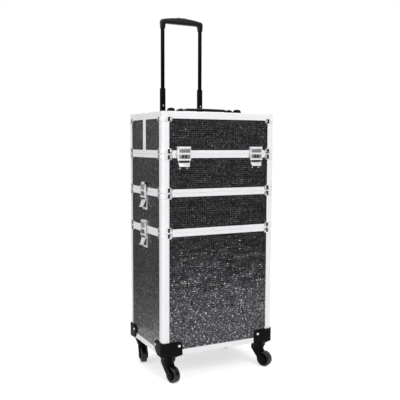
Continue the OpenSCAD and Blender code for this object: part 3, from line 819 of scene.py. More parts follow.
FINISHES: tuple[Finish, ...] = (
    StoneFinish(Look.STONE, (0.0035, 0.0033, 0.0037), (0.010, 0.0095, 0.0105), (0.24, 0.10), ior=1.575,
                tint=(1.0, 0.95, 1.03)),
    Finish(Look.BOARD, (0.008, 0.008, 0.009), (0.016, 0.016, 0.017), (0.45, 0.65), scale=60.0, relief=0.3),
    Finish(Look.EDGING, (0.91, 0.905, 0.925), (0.96, 0.955, 0.975), (0.40, 0.56), scale=18.0, metallic=0.06,
           relief=0.06, relief_scale=1.0, relief_depth=0.05 * MM, relief_group="brushing"),
    Finish(Look.STEEL, (0.90, 0.90, 0.92), (0.95, 0.95, 0.97), (0.16, 0.28), scale=45.0, metallic=0.16,
           relief=0.05, relief_scale=260.0),
    # Chrome of the cap bosses, also laid as painted dark reflection on the discs under them and on the hasps'
    # flat fields
    Finish(Look.CAP, (0.62, 0.62, 0.64), (0.84, 0.84, 0.86), (0.14, 0.28), scale=70.0, metallic=0.72,
           relief=0.06, relief_scale=260.0),
    # Painted shadow and dark reflection: thin sheets and rings over the steel, and the front latches' mounts
    Finish(Look.PLATE, (0.030, 0.030, 0.032), (0.060, 0.060, 0.063), (0.22, 0.38), scale=70.0, metallic=0.40,
           relief=0.06, relief_scale=260.0),
    Finish(Look.PLASTIC, (0.002, 0.002, 0.0024), (0.006, 0.006, 0.007), (0.34, 0.52), scale=40.0,
           specular=0.06, relief=0.22, relief_scale=1100.0),
    Finish(Look.TUBE, (0.0016, 0.0016, 0.0019), (0.004, 0.004, 0.0047), (0.24, 0.36), scale=25.0,
           specular=0.05),
    Finish(Look.VELVET, (0.008, 0.008, 0.009), (0.030, 0.030, 0.033), (0.85, 1.0), scale=70.0, specular=0.2,
           relief=0.7, relief_scale=1600.0, sheen=0.35),
    Finish(Look.GRIP, (0.003, 0.003, 0.0035), (0.008, 0.008, 0.009), (0.30, 0.44), scale=40.0, specular=0.28,
           relief=0.25, relief_scale=800.0),
    Finish(Look.TREAD, (0.003, 0.003, 0.003), (0.008, 0.008, 0.009), (0.18, 0.32), scale=55.0, specular=0.4,
           relief=0.2, relief_scale=700.0),
)


@dataclass
class Workshop:
    """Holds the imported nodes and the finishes, and settles each finished piece."""

    nodes: dict[str, Object]
    finishes: dict[Look, Material] = field(default_factory=dict)
    made: int = 0

    def mix_finishes(self) -> None:
        """Builds the shared effects and every finish."""
        effects = SharedEffects()
        for make in (effects.patina, effects.grain, effects.brushing):
            make()
        self.finishes = {finish.look: finish.build() for finish in FINISHES}

    def settle(self, piece: Object, body: str, slot: Slot, look: Look, *nodes: str) -> None:
        """Gives a finished piece its finish and body.

        Args:
            piece: The finished piece.
            body: The body it moves with.
            slot: The record's slot; not used.
            look: Its finish.
            *nodes: Solids that it stands for.
        """
        self.paint(piece, look)
        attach(piece, body)
        if nodes:
            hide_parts(*nodes)
        self.made += 1
        LOG.info("%s: %d faces, moves with %s", piece.name, len(piece.data.polygons), body)

    def paint(self, piece: Object, look: Look) -> None:
        """Gives a piece one finish all over."""
        piece.data.materials.clear()
        piece.data.materials.append(self.finishes[look])

    def softened(self, node: str, name: str, width: float, segments: int = 2) -> Object:
        """Copies a solid and rounds its edges.

        Args:
            node: The solid.
            name: The copy's name.
            width: Width of the rounding.
            segments: Faces across the rounding.

        Returns:
            The rounded copy.
        """
        piece = copied(self.nodes[node], name)
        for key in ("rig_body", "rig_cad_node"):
            if key in piece:
                del piece[key]
        piece.parent = None
        with editing(piece, "VERT"):
            bpy.ops.mesh.customdata_custom_splitnormals_clear()
            bpy.ops.mesh.remove_doubles(threshold=MERGE)
            bpy.ops.mesh.select_all(action="SELECT")
            bpy.ops.mesh.dissolve_limited(angle_limit=FLAT_ANGLE)
        return rounded(piece, width, segments)

    def refine(self, node: str, name: str, body: str, slot: Slot, look: Look, width: float,
               segments: int = 2) -> None:
        """Lets a rounded copy of a solid stand for it."""
        self.settle(self.softened(node, name, width, segments), body, slot, look, node)


@dataclass(frozen=True)
class Extrusion:
    """Sections of the aluminium edging."""

    leg: float = 20.0 * MM
    core: float = 12.0 * MM
    corner: float = 8.0 * MM
    strip: float = 1.2 * MM
    panel: float = 4.0 * MM
    web: float = 1.5 * MM
    rim: float = 10.0 * MM
    foot: float = 15.0 * MM
    lid_rim: float = 19.0 * MM
    tongue: float = 1.6 * MM
    tongue_gap: float = 0.4 * MM
    tongue_tall: float = 5.0 * MM
    joint: float = 0.1 * MM
    stone: float = 0.8 * MM
    edge: float = 0.35 * MM
    lid_round: float = 2.4 * MM
    groove: float = 0.9 * MM
    groove_deep: float = 0.45 * MM
    groove_at: tuple[float, ...] = (0.27, 0.73)
    groove_shape: Drawing = ((-0.5, 0.0), (-0.25, 1.0), (0.25, 1.0), (0.5, 0.0))

    @property
    def wall(self) -> float:
        """Thickness of a wall."""
        return self.strip + self.panel

    @property
    def face(self) -> float:
        """Depth of a panel's stone face behind the edging."""
        return self.strip - self.stone

    def grooved(self, start: Point, end: Point, inward: Point) -> list[Point]:
        """A straight face with its fine grooves.

        Args:
            start: Where the face starts.
            end: Where it ends.
            inward: Direction into the metal.

        Returns:
            The points from start to end.
        """
        run = Vector(end) - Vector(start)
        wide, deep = run.normalized() * self.groove, Vector(inward) * self.groove_deep
        points = [Vector(start)]
        for share in self.groove_at:
            middle = Vector(start) + run * share
            points += [middle + wide * reach + deep * sunk for reach, sunk in self.groove_shape]
        points.append(Vector(end))
        return [tuple(point) for point in points]

    def low_rail(self, tall: float) -> list[Point]:
        """Section of a rail under a panel, across (inward, up)."""
        face = self.grooved((0.0, self.edge), (0.0, tall - self.edge), (1.0, 0.0))
        return face + [(self.edge, tall), (self.strip, tall), (self.strip, self.web), (self.wall, self.web),
                       (self.wall, 0.0), (self.edge, 0.0)]

    def high_rail(self) -> list[Point]:
        """Section of a rail over a panel, with the tongue for the case above; its top is at 0.

        Returns:
            The section's points.
        """
        face = self.grooved((0.0, self.edge - self.rim), (0.0, -self.edge), (1.0, 0.0))
        inner = self.wall + self.tongue_gap
        outer = inner + self.tongue
        return face + [(self.edge, 0.0), (inner, 0.0), (inner, self.tongue_tall - self.edge),
                       (inner + self.edge, self.tongue_tall), (outer - self.edge, self.tongue_tall),
                       (outer, self.tongue_tall - self.edge), (outer, -self.web), (self.strip, -self.web),
                       (self.strip, -self.rim), (self.edge, -self.rim)]

    def lid_rail(self) -> list[Point]:
        """Section of the rounded rail round the lid's top; its top is at 0.

        Returns:
            The section's points.
        """
        r = self.lid_round
        face = self.grooved((0.0, self.edge - self.lid_rim), (0.0, -r), (1.0, 0.0))
        bend = arc((r, -r), r, 180.0, 90.0)[1:-1]
        top = self.grooved((r, 0.0), (self.lid_rim - self.edge, 0.0), (0.0, -1.0))
        return face + bend + top + [(self.lid_rim, -self.edge), (self.lid_rim, -self.strip),
                                    (self.strip, -self.strip), (self.strip, -self.lid_rim),
                                    (self.edge, -self.lid_rim)]

    def split_rail(self) -> list[Point]:
        """Section of the edging along the lid's split, across (inward, to the split)."""
        face = self.grooved((0.0, self.edge - self.rim), (0.0, -self.edge), (1.0, 0.0))
        return face + [(self.edge, 0.0), (self.wall, 0.0), (self.wall, -self.web), (self.strip, -self.web),
                       (self.strip, -self.rim), (self.edge, -self.rim)]

    def post(self) -> list[Point]:
        """Plan section of a corner post whose faces run along +X and +Y.

        Returns:
            The section's points.
        """
        r = self.corner
        first = self.grooved((self.leg - self.edge, 0.0), (r, 0.0), (0.0, 1.0))
        bend = arc((r, r), r, 270.0, 180.0)[1:-1]
        second = self.grooved((0.0, r), (0.0, self.leg - self.edge), (1.0, 0.0))
        return first + bend + second + [
            (self.edge, self.leg), (self.strip, self.leg), (self.strip, self.core), (self.wall, self.core),
            (self.wall, self.wall), (self.core, self.wall), (self.core, self.strip), (self.leg, self.strip),
            (self.leg, self.edge)]

    def rail(self, name: str, outline: Sequence[Point], run: float, place: Matrix) -> Object:
        """A rail of some section along X, middle at 0, put in its place."""
        piece = moved(extruded(name, outline, run), ALONG_X @ shifted(0.0, 0.0, -run / 2))
        return marked(moved(piece, place), "upright", 0.0)

    def upright(self, name: str, outline: Sequence[Point], tall: float, place: Matrix) -> Object:
        """A vertical length of a plan section, put in its place."""
        return marked(moved(extruded(name, outline, tall), place), "upright", 1.0)


@dataclass(frozen=True)
class StoneGrid:
    """Rows and columns of stones on a face whose middle is the origin."""

    wide: float
    tall: float
    columns: int
    rows: int

    def cells(self, points: np.ndarray) -> tuple[np.ndarray, ...]:
        """Finds the stones that points lie on.

        Args:
            points: The points, as rows.

        Returns:
            Each point's column and row, and its place across and up from the middle of that stone.
        """
        u = (points[:, 0] / self.wide + 0.5) * self.columns
        v = (points[:, 1] / self.tall + 0.5) * self.rows
        column = np.clip(u.astype(int), 0, self.columns - 1)
        row = np.clip(v.astype(int), 0, self.rows - 1)
        return column, row, u - column - 0.5, v - row - 0.5


@dataclass(frozen=True)
class StoneField:
    """A tight grid of small cut stones on one face of a panel."""

    pitch: float = 5.6 * MM
    gutter: float = 0.42 * MM
    rise: float = 0.28 * MM
    crown: float = 0.13 * MM
    tilt: float = 0.045 * MM
    turned_share: float = 0.20
    turned_tilt: float = 0.18 * MM
    facets: int = 4
    run: int = 6
    run_lean: float = 0.09 * MM
    backing: float = 0.1 * MM
    rim_zone: Point = (0.5, 1.2)
    flat: float = 0.9

    def build(self, name: str, wide: float, tall: float, place: Matrix, seed: int) -> Object:
        """Makes the stones of one panel face.

        Args:
            name: The piece's name.
            wide: Width of the face.
            tall: Height of the face.
            place: Middle of the face, with +Z outwards.
            seed: Seed of the stones' tones and tilts.

        Returns:
            The piece.
        """
        grid = StoneGrid(wide, tall, max(1, round(wide / self.pitch)), max(1, round(tall / self.pitch)))
        piece = started(name, bpy.ops.mesh.primitive_grid_add, x_subdivisions=grid.columns,
                        y_subdivisions=grid.rows, size=1.0)
        with editing(piece):
            bpy.ops.transform.resize(value=(wide, tall, 1.0))
            bpy.ops.transform.translate(value=(0.0, 0.0, self.backing))
            bpy.ops.mesh.inset(thickness=self.gutter, depth=self.rise, use_individual=True)
            bpy.ops.mesh.poke(offset=self.crown)
            bpy.ops.mesh.select_mode(type="EDGE")
            bpy.ops.mesh.select_all(action="DESELECT")
            bpy.ops.mesh.select_non_manifold()
            bpy.ops.mesh.extrude_region_move(TRANSFORM_OT_translate={"value": (0.0, 0.0, -self.backing)})
            bpy.ops.mesh.edge_face_add()
            turn_outwards()
        self._set_stones(piece, grid, np.random.default_rng(seed))
        return moved(piece, place)

    def _set_stones(self, piece: Object, grid: StoneGrid, rng: np.random.Generator) -> None:
        """Tilts each stone and gives each of its facets a tone.

        Args:
            piece: The stones, flat in the XY plane.
            grid: Their rows and columns.
            rng: Source of the tones and tilts.
        """
        rows, columns = grid.rows, grid.columns
        tones = rng.random((rows, columns, self.facets))
        lean = np.where(rng.random((rows, columns)) < self.turned_share, self.turned_tilt, self.tilt)
        slopes = rng.uniform(-1.0, 1.0, (2, rows, columns)) * lean
        runs = np.repeat(rng.uniform(-1.0, 1.0, (rows, columns // self.run + 2)), self.run, axis=1)
        starts = rng.integers(0, self.run, rows)
        lines = np.stack([line[start:start + columns] for line, start in zip(runs, starts)])
        slopes[1] += lines * self.run_lean
        mesh = piece.data
        points = vectors(mesh.vertices, "co")
        column, row, across, up = grid.cells(points)
        low, high = (self.backing + self.rise * share for share in self.rim_zone)
        on_rim = (points[:, 2] > low) & (points[:, 2] < high)
        rise = slopes[0, row, column] * np.sign(across) + slopes[1, row, column] * np.sign(up)
        points[:, 2] += np.where(on_rim, rise, 0.0)
        mesh.vertices.foreach_set("co", points.ravel())
        mesh.update()
        column, row, across, up = grid.cells(vectors(mesh.polygons, "center"))
        facet = np.where(np.abs(across) > np.abs(up), across > 0.0, 2 + (up > 0.0)).astype(int)
        marked(piece, "stone_tone", tones[row, column, facet])
        marked(piece, "stone_edge", vectors(mesh.polygons, "normal")[:, 2] < self.flat)
        # The runs' shared lean is written out too, for the finish to paint glints along them
        marked(piece, "stone_run", lines[row, column] * 0.5 + 0.5)


@dataclass(frozen=True)
class CornerCaps:
    """Pressed steel caps on the corners, with a raised boss, a rivet and upright ribs on each lobe."""

    reach: float = 29.0 * MM
    tall: float = 15.0 * MM
    proud: float = 1.1 * MM
    soft: float = 0.4 * MM
    boss_in: float = 4.0 * MM
    boss_r: float = 3.4 * MM
    boss_tall: float = 0.6 * MM
    rivet_r: float = 1.9 * MM
    rivet_tall: float = 1.4 * MM
    rib_r: float = 0.85 * MM
    rib_in: tuple[float, ...] = (10.9 * MM, 13.8 * MM, 16.7 * MM)
    rib_margin: float = 1.6 * MM
    rib_end: Drawing = ((0.7, 0.3), (1.0, 1.0))
    boss_side: Drawing = ((0.97, 0.35), (0.80, 0.80))
    boss_rim: Drawing = ((1.25, 1.0), (1.0, 0.85))
    rivet_side: Drawing = ((1.0, 0.65), (0.7, 0.92))
    # Grey discs under the bosses and dark fields beside them are painted dark reflection
    lobe_in: float = 2.6 * MM
    lobe_r: float = 6.6 * MM
    lobe_t: float = 0.08 * MM
    field_in: float = 6.6 * MM
    field_half: tuple[float, float] = (3.2 * MM, 5.6 * MM)
    field_t: float = 0.16 * MM
    field_soft: float = 0.8

    def rib(self) -> Object:
        """An upright round rib, half sunk in the cap, about the origin."""
        return rod("cap_rib", self.rib_r, self.tall / 2 - self.rib_margin, self.rib_end, steps=12)

    def along(self, boss: Matrix, middle: Vector) -> Vector:
        """Direction from a boss to its corner.

        Args:
            boss: Place of the boss.
            middle: Middle of the section.

        Returns:
            The direction.
        """
        way = (boss.to_3x3() @ UP).cross(UP)
        if way.dot(boss.translation - middle) < 0.0:
            way.negate()
        return way

    def ribs(self, boss: Matrix, middle: Vector) -> list[Matrix]:
        """Places of the ribs between a boss and its corner."""
        way = self.along(boss, middle)
        return [Matrix.Translation(boss.translation + way * inward) for inward in self.rib_in]

    def nearer(self, boss: Matrix, middle: Vector, inward: float) -> Matrix:
        """A place beside a boss, towards its corner, with +Y up and +Z outwards.

        Args:
            boss: Place of the boss.
            middle: Middle of the section.
            inward: How far it is from the boss.

        Returns:
            The place.
        """
        out = boss.to_3x3() @ UP
        upright = Matrix((UP.cross(out), UP, out)).transposed().to_4x4()
        return Matrix.Translation(boss.translation + self.along(boss, middle) * inward) @ upright

    def lobe(self) -> Object:
        """A thin grey disc under a boss, standing on z = 0: painted dark reflection round the boss."""
        r, t, foot = self.lobe_r, self.lobe_t, -self.soft
        return spun("cap_lobe", [(0.0, foot), (r, foot), (r, t / 2), (r - t, t), (0.0, t)], steps=32)

    def boss(self) -> Object:
        """A shallow dome with a rivet head, standing on z = 0."""
        side = [(self.boss_r, -self.soft), *scaled(self.boss_side, self.boss_r, self.boss_tall),
                *scaled(self.boss_rim, self.rivet_r, self.boss_tall),
                *scaled(self.rivet_side, self.rivet_r, self.rivet_tall)]
        return spun("cap_boss", [*side, (0.0, self.rivet_tall), (0.0, -self.soft)], steps=16)

    def field(self) -> Object:
        """A thin dark field, standing on z = 0: painted dark reflection between a boss and its ribs."""
        (x, y), skin = self.field_half, self.field_t
        return rounded(block("cap_field", (-x, -y, -self.soft), (x, y, skin)), skin * self.field_soft)

    def lobes(self, low: float) -> list[Matrix]:
        """Places of the two bosses of a cap, from its corner, by the height of its lower edge."""
        out, z = self.reach - self.boss_in, low + self.tall / 2
        return [shifted(out, -self.proud, z) @ TO_FRONT, shifted(-self.proud, out, z) @ TO_LEFT]


@dataclass
class Section:
    """What the cases and the halves of the lid share: edging, stones and caps."""

    shop: Workshop
    prefix: str
    body: str
    ex: Extrusion
    stones: StoneField = StoneField()
    caps: CornerCaps = CornerCaps()
    fields: int = 0
    field_seed: int = 97
    prefix_seed: int = 1009

    def __post_init__(self) -> None:
        """Takes the section's box from the frame."""
        self.low, self.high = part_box(f"{self.prefix}_frame")

    def stone_face(self, label: str, wide: float, tall: float, place: Matrix) -> None:
        """Lays stones on one face of the section's panels.

        Args:
            label: Which face it is.
            wide: Its width.
            tall: Its height.
            place: Middle of the face on the board, with +Z outwards.
        """
        self.fields += 1
        seed = SEED + self.field_seed * self.fields + len(self.prefix) * self.prefix_seed
        piece = self.stones.build(f"{self.prefix}_stones_{label}", wide, tall, place, seed)
        self.shop.settle(piece, self.body, Slot.STONE, Look.STONE)

    def settle_edging(self, parts: list[Object]) -> None:
        """Joins the edging and lets it stand for the frame."""
        piece = smoothed(joined(f"{self.prefix}_edging", parts), FINE_BELOW)
        self.shop.settle(piece, self.body, Slot.EDGING, Look.EDGING, f"{self.prefix}_frame")

    def settle_caps(self, places: list[Matrix]) -> None:
        """Rounds the corner caps and sets their ribs and bosses, with the grey lobes and dark fields of
        painted dark reflection.

        Args:
            places: Places of the bosses.
        """
        node, name, caps = f"{self.prefix}_corners", f"{self.prefix}_cap", self.caps
        middle = (self.low + self.high) / 2
        shell = self.shop.softened(node, f"{name}_shells", caps.soft)
        bosses = placed(f"{name}_bosses", caps.boss(), places)
        rods = [rib for place in places for rib in caps.ribs(place, middle)]
        ribs = placed(f"{name}_ribs", caps.rib(), rods)
        self.shop.settle(joined(f"{name}s", [shell, ribs]), self.body, Slot.STEEL, Look.STEEL, node)
        # Grey lobes under the bosses and dark fields beside them: painted dark reflection
        lobes, fields = (
            placed(f"{name}_{kind}", pattern, [caps.nearer(place, middle, inward) for place in places])
            for kind, pattern, inward in (("lobes", caps.lobe(), caps.lobe_in),
                                          ("fields", caps.field(), caps.field_in)))
        self.shop.settle(joined(f"{name}_bosses", [bosses, lobes]), self.body, Slot.STEEL, Look.CAP)
        self.shop.settle(fields, self.body, Slot.STEEL, Look.PLATE)


@dataclass
class OpenCase(Section):
    """An open case of the stack: bottom, middle or top."""

    low_rim: float = 10.0 * MM
    walls: tuple[str, ...] = ("front", "right", "back", "left")
    lining_soft: float = 0.4 * MM

    def __post_init__(self) -> None:
        """Takes the case's height from its box."""
        super().__post_init__()
        self.tall = self.high.z - self.ex.tongue_tall - self.low.z

    def wall(self, index: int, z: float) -> Matrix:
        """Place of a wall, 0 at the front round to 3 at the left, some way over the foot; y runs inwards."""
        return turned(90.0 * index) @ shifted(0.0, -self.reach(index), self.low.z + z)

    def reach(self, index: int) -> float:
        """Distance of a wall from the middle."""
        return self.high.y if index % 2 == 0 else self.high.x

    def run(self, index: int) -> float:
        """Length of a wall between its corner posts."""
        return 2.0 * self.reach(index + 1) - 2.0 * (self.ex.leg + self.ex.joint)

    def corner(self, index: int) -> Matrix:
        """Place of a corner, 0 at the front left round by the front right; its faces run along +X and +Y."""
        sx, sy = (-1.0 if index in (0, 3) else 1.0), (-1.0 if index < 2 else 1.0)
        return shifted(sx * self.high.x, sy * self.high.y, self.low.z) @ turned(90.0 * index)

    def build(self) -> None:
        """Makes the case's edging, stones, caps and lining."""
        self._edging()
        self._stones()
        self._caps()
        self.shop.refine(f"{self.prefix}_lining", f"{self.prefix}_velvet", self.body, Slot.LINING,
                         Look.VELVET, self.lining_soft)
        self.shop.paint(self.shop.nodes[f"{self.prefix}_panels"], Look.BOARD)

    def _edging(self) -> None:
        """Makes the posts and rails."""
        ex, corners = self.ex, range(len(self.walls))
        parts = [ex.upright(f"post_{k}", ex.post(), self.tall, self.corner(k)) for k in corners]
        for k in corners:
            parts.append(ex.rail(f"low_{k}", ex.low_rail(self.low_rim), self.run(k), self.wall(k, 0.0)))
            parts.append(ex.rail(f"high_{k}", ex.high_rail(), self.run(k), self.wall(k, self.tall)))
        self.settle_edging(parts)

    def _stones(self) -> None:
        """Lays stones on the four walls."""
        ex = self.ex
        foot = self.low_rim + ex.joint
        tall = self.tall - ex.rim - ex.joint - foot
        for k, label in enumerate(self.walls):
            place = self.wall(k, foot + tall / 2) @ shifted(0.0, ex.face, 0.0) @ TO_FRONT
            self.stone_face(label, self.run(k), tall, place)

    def _caps(self) -> None:
        """Caps the corners at each seam; the bottom case has a seam at its top only."""
        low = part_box(f"{self.prefix}_corners")[0].z - self.low.z
        high = self.tall - self.caps.tall
        heights = (high,) if high - low < self.caps.tall else (low, high)
        self.settle_caps([self.corner(k) @ place for k in range(len(self.walls)) for z in heights
                          for place in self.caps.lobes(z)])


@dataclass
class LidHalf(Section):
    """Front or rear half of the lid, seen with its outer wall at y = 0 and the split at y = depth."""

    lining: float = 1.2 * MM
    lining_gap: float = 3.2 * MM
    lining_soft: float = 0.3 * MM

    def __post_init__(self) -> None:
        """Takes the half's place and sizes from its box."""
        super().__post_init__()
        front = self.prefix.startswith("front")
        self.place = (shifted(0.0, self.low.y, self.low.z) if front
                      else shifted(0.0, self.high.y, self.low.z) @ turned(180.0))
        self.depth = self.high.y - self.low.y
        self.tall = self.high.z - self.low.z
        self.half = self.high.x

    def corner(self, side: Side) -> Matrix:
        """Place of an outer corner, whose faces run along +X and +Y."""
        turn = turned(0.0 if side is Side.LEFT else 90.0)
        return self.place @ shifted(side.value * self.half, 0.0, 0.0) @ turn

    def flank(self, side: Side, y: float, z: float) -> Matrix:
        """Place on a side wall, y from the outer wall and z high, with x along the wall and y inwards."""
        turn = turned(-90.0 if side is Side.LEFT else 90.0)
        return self.place @ shifted(side.value * self.half, y, z) @ turn

    def build(self) -> None:
        """Makes the half's edging, stones, caps and lining."""
        self._edging()
        self._stones()
        self._caps()
        self._lining()
        self.shop.paint(self.shop.nodes[f"{self.prefix}_panels"], Look.BOARD)

    def _edging(self) -> None:
        """Makes the posts, the rails and the edging along the split."""
        ex = self.ex
        post = self.tall - ex.edge
        parts = [ex.upright(f"post_{side.name}", ex.post(), post, self.corner(side)) for side in Side]
        run = 2.0 * (self.half - ex.leg - ex.joint)
        parts.append(ex.rail("low_front", ex.low_rail(ex.rim), run, self.place))
        parts.append(ex.rail("top_front", ex.lid_rail(), run, self.place @ shifted(0.0, 0.0, self.tall)))
        side_run = self.depth - ex.leg - ex.rim - 2.0 * ex.joint
        middle = ex.leg + ex.joint + side_run / 2
        for side in Side:
            parts.append(ex.rail("low_side", ex.low_rail(ex.rim), side_run, self.flank(side, middle, 0.0)))
            parts.append(ex.rail("top_side", ex.lid_rail(), side_run, self.flank(side, middle, self.tall)))
            parts.append(self._split_post(side))
        top_run = 2.0 * (self.half - ex.lid_rim - ex.joint)
        across = [(y, -x) for x, y in ex.split_rail()]
        parts.append(ex.rail("split_top", across, top_run, self.place @ shifted(0.0, self.depth, self.tall)))
        self.settle_edging(parts)

    def _split_post(self, side: Side) -> Object:
        """The upright along the split on one side, with its flange on the top.

        Args:
            side: Which side.

        Returns:
            The piece.
        """
        ex = self.ex
        outline = ex.split_rail()
        if side is Side.RIGHT:
            outline = [(-x, y) for x, y in reversed(outline)]
        place = self.place @ shifted(side.value * self.half, self.depth, 0.0)
        post = ex.upright("split_post", outline, self.tall - ex.edge, place)
        flange = block("flange", (-self.half + ex.edge, self.depth - ex.rim, self.tall - ex.strip),
                       (-self.half + ex.lid_rim, self.depth, self.tall))
        if side is Side.RIGHT:
            moved(flange, shifted(2.0 * self.half - ex.lid_rim - ex.edge, 0.0, 0.0))
        marked(moved(rounded(flange, ex.edge), self.place), "upright", 0.0)
        return joined("split_post", [post, flange])

    def _stones(self) -> None:
        """Lays stones on the outer wall, the two sides and the top."""
        ex = self.ex
        low = ex.rim + ex.joint
        tall = self.tall - ex.lid_rim - ex.joint - low
        wide = 2.0 * (self.half - ex.leg - ex.joint)
        middle = low + tall / 2
        self.stone_face("wall", wide, tall, self.place @ shifted(0.0, ex.face, middle) @ TO_FRONT)
        start = ex.leg + ex.joint
        end = self.depth - ex.rim - ex.joint
        for side in Side:
            place = self.flank(side, (start + end) / 2, middle) @ shifted(0.0, ex.face, 0.0) @ TO_FRONT
            self.stone_face(side.name.lower(), end - start, tall, place)
        margin = ex.lid_rim + ex.joint
        top = shifted(0.0, (margin + end) / 2, self.tall - ex.face)
        self.stone_face("top", 2.0 * (self.half - margin), end - margin, self.place @ top)

    def _caps(self) -> None:
        """Caps the outer corners at the seam and under the top."""
        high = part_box(f"{self.prefix}_corners")[1].z - self.low.z - self.caps.tall
        self.settle_caps([self.corner(side) @ place for side in Side for z in (0.0, high)
                          for place in self.caps.lobes(z)])

    def _lining(self) -> None:
        """Lines the inside of the half with velvet."""
        wall, skin = self.ex.wall, self.lining
        side, room_side = self.half - wall, self.half - wall - skin
        top = self.tall - wall
        outer = block(f"{self.prefix}_velvet", (-side, wall, wall + self.lining_gap),
                      (side, self.depth - self.ex.web, top))
        inner = block("lid_room", (-room_side, wall + skin, 0.0), (room_side, self.depth, top - skin))
        piece = moved(rounded(cut_away(outer, inner), self.lining_soft), self.place)
        self.shop.settle(piece, self.body, Slot.LINING, Look.VELVET)


@dataclass
class Latch:
    """One draw latch: a hasp that hangs over the seam and a lever below it."""

    shop: Workshop
    name: str
    place: Matrix
    leaf: float = 1.2 * MM
    knuckle: float = 3.0 * MM
    gap: float = 0.3 * MM
    pitch: float = 1.0 * MM
    soft: float = 0.35 * MM
    bar_r: float = 2.3 * MM
    bar_end: Drawing = ((0.7, 0.0), (1.0, 0.3))
    bar_steps: int = 20
    ridge_z: float = 1.5 * MM
    taper: float = 0.14
    flange: float = 1.6 * MM
    lever_less: float = 0.5 * MM
    tip_r: float = 1.2 * MM
    flare: float = 4.0 * MM
    rivet_pitch: float = 20.0 * MM
    rivet_zone: float = 7.4 * MM
    # Thin sheets that carry painted dark reflection on the hasp's flat fields and painted shadow in its
    # windows and behind the lever
    field_in: float = 2.6 * MM
    field_t: float = 0.16 * MM
    field_soft: float = 0.8
    slot_x: float = 4.6 * MM
    slot_wide: float = 6.0 * MM

    def __post_init__(self) -> None:
        """Reads the latch's sizes from the frame, seen from the seam."""
        back = self.place.inverted()
        low, high = (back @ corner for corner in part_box(f"hasp_{self.name}"))
        self.wide = abs(high.x - low.x)
        self.up = high.z
        self.drop = -low.z
        self.lever_r = self.knuckle - self.lever_less
        self.axis_z = -self.drop - self.lever_r - self.pitch
        low, high = (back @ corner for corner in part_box(f"lever_{self.name}"))
        self.lever_wide = abs(high.x - low.x)
        self.tip_z = low.z
        self.lever_out = -min(low.y, high.y)

    @property
    def face(self) -> float:
        """How far the hasp's face stands in front of the frame."""
        return self.leaf + self.gap + 2.0 * self.knuckle

    def bar(self, name: str, radius: float, length: float, out: float, z: float) -> Object:
        """A round bar across the latch, out in front of the frame at a height from the seam."""
        piece = rod(name, radius, length / 2, self.bar_end, self.bar_steps)
        return moved(piece, self.place @ shifted(0.0, -out, z) @ TO_RIGHT)

    def build(self) -> None:
        """Makes the hasp and the lever."""
        self._hasp()
        self._lever()

    def _hasp(self) -> None:
        """The hasp with a rolled foot, a round ridge at the seam, flat fields painted darker as reflection,
        and two windows painted dark as shadow.
        """
        node = f"hasp_{self.name}"
        plate = self.shop.softened(node, f"{node}_plate", self.soft)
        out = self.face - self.leaf / 2
        foot = self.bar("foot", self.bar_r, self.wide - self.leaf, out, self.bar_r - self.drop)
        ridge = self.bar("ridge", self.bar_r, self.wide - self.leaf, out, self.ridge_z)
        piece = joined(f"{node}_pressing", [plate, foot, ridge])
        self.shop.settle(piece, node, Slot.STEEL, Look.STEEL, node)
        # Fields on the flat zones between the bars are painted darker, as dark reflection
        half = self.wide / 2 - self.field_in
        high = self._field(-half, half, self.ridge_z + self.bar_r, self.up - 2.0 * self.knuckle, self.field_t)
        low_z, high_z = 2.0 * self.bar_r - self.drop, self.ridge_z - self.bar_r
        low = self._field(-half, half, low_z, high_z, self.field_t)
        self.shop.settle(joined(f"{node}_fields", [high, low]), node, Slot.STEEL, Look.CAP)
        # Two windows painted dark, as the shadow behind them
        slot_shadows = [self._field(x - self.slot_wide / 2, x + self.slot_wide / 2, low_z + self.leaf,
                             high_z - self.leaf, 2.0 * self.field_t) for x in (-self.slot_x, self.slot_x)]
        self.shop.settle(joined(f"{node}_slots", slot_shadows), node, Slot.STEEL, Look.PLATE)

    def _field(self, left: float, right: float, low: float, high: float, tall: float) -> Object:
        """A thin field between edges on the hasp's face, that stands out of it by the last size; it carries
        painted dark reflection on the flat zones and painted shadow in the windows.
        """
        sheet = block("field", (left, -self.face - tall, low), (right, -self.face + self.gap, high))
        return moved(rounded(sheet, tall * self.field_soft), self.place)

    def _lever(self) -> None:
        """The lever: narrower towards its tip, with a rolled end, rims at both sides and a flare."""
        node = f"lever_{self.name}"
        tab = self.shop.softened(node, f"{node}_tab", self.soft)
        tip = self.bar("tip", self.tip_r, self.lever_wide - self.tip_r, self.lever_out,
                       self.tip_z + self.tip_r)
        run = self.axis_z - self.lever_r - self.tip_z
        middle = self.leaf + self.gap + self.lever_r
        rims = []
        for s in BOTH_SIDES:
            x = s * (self.lever_wide - self.flange) / 2
            reach = Vector((self.flange / 2, self.leaf, run / 2))
            centre = Vector((x, -middle - self.leaf / 2, self.tip_z + run / 2))
            rims.append(moved(rounded(block("rim", centre - reach, centre + reach), self.soft), self.place))
        piece = joined(f"{node}_pressing", [tab, tip, *rims])
        back = self.place.inverted()
        for vertex in piece.data.vertices:
            local = back @ vertex.co
            share = ease((self.axis_z - self.lever_r - local.z) / run)
            local.x *= 1.0 - self.taper * share
            local.y -= self.flare * share * share
            vertex.co = self.place @ local
        self.shop.settle(piece, node, Slot.STEEL, Look.STEEL, node)
        # A dark ring round the knuckle is painted shadow under the hasp
        band = self.bar("band", self.lever_r + self.field_t, self.lever_wide - self.leaf, middle, self.axis_z)
        self.shop.settle(joined(f"{node}_band", [band]), node, Slot.STEEL, Look.PLATE)

    def shade(self) -> Object:
        """A dark field on the plate behind the lever: painted shadow of the lever.

        Returns:
            The field, in the latch's place.
        """
        half = self.lever_wide / 2 - self.field_in
        low, high = self.tip_z - self.flange, self.axis_z - self.lever_r
        sheet = block("shade", (-half, -self.leaf - self.field_t, low), (half, -self.leaf / 2, high))
        return moved(sheet, self.place)

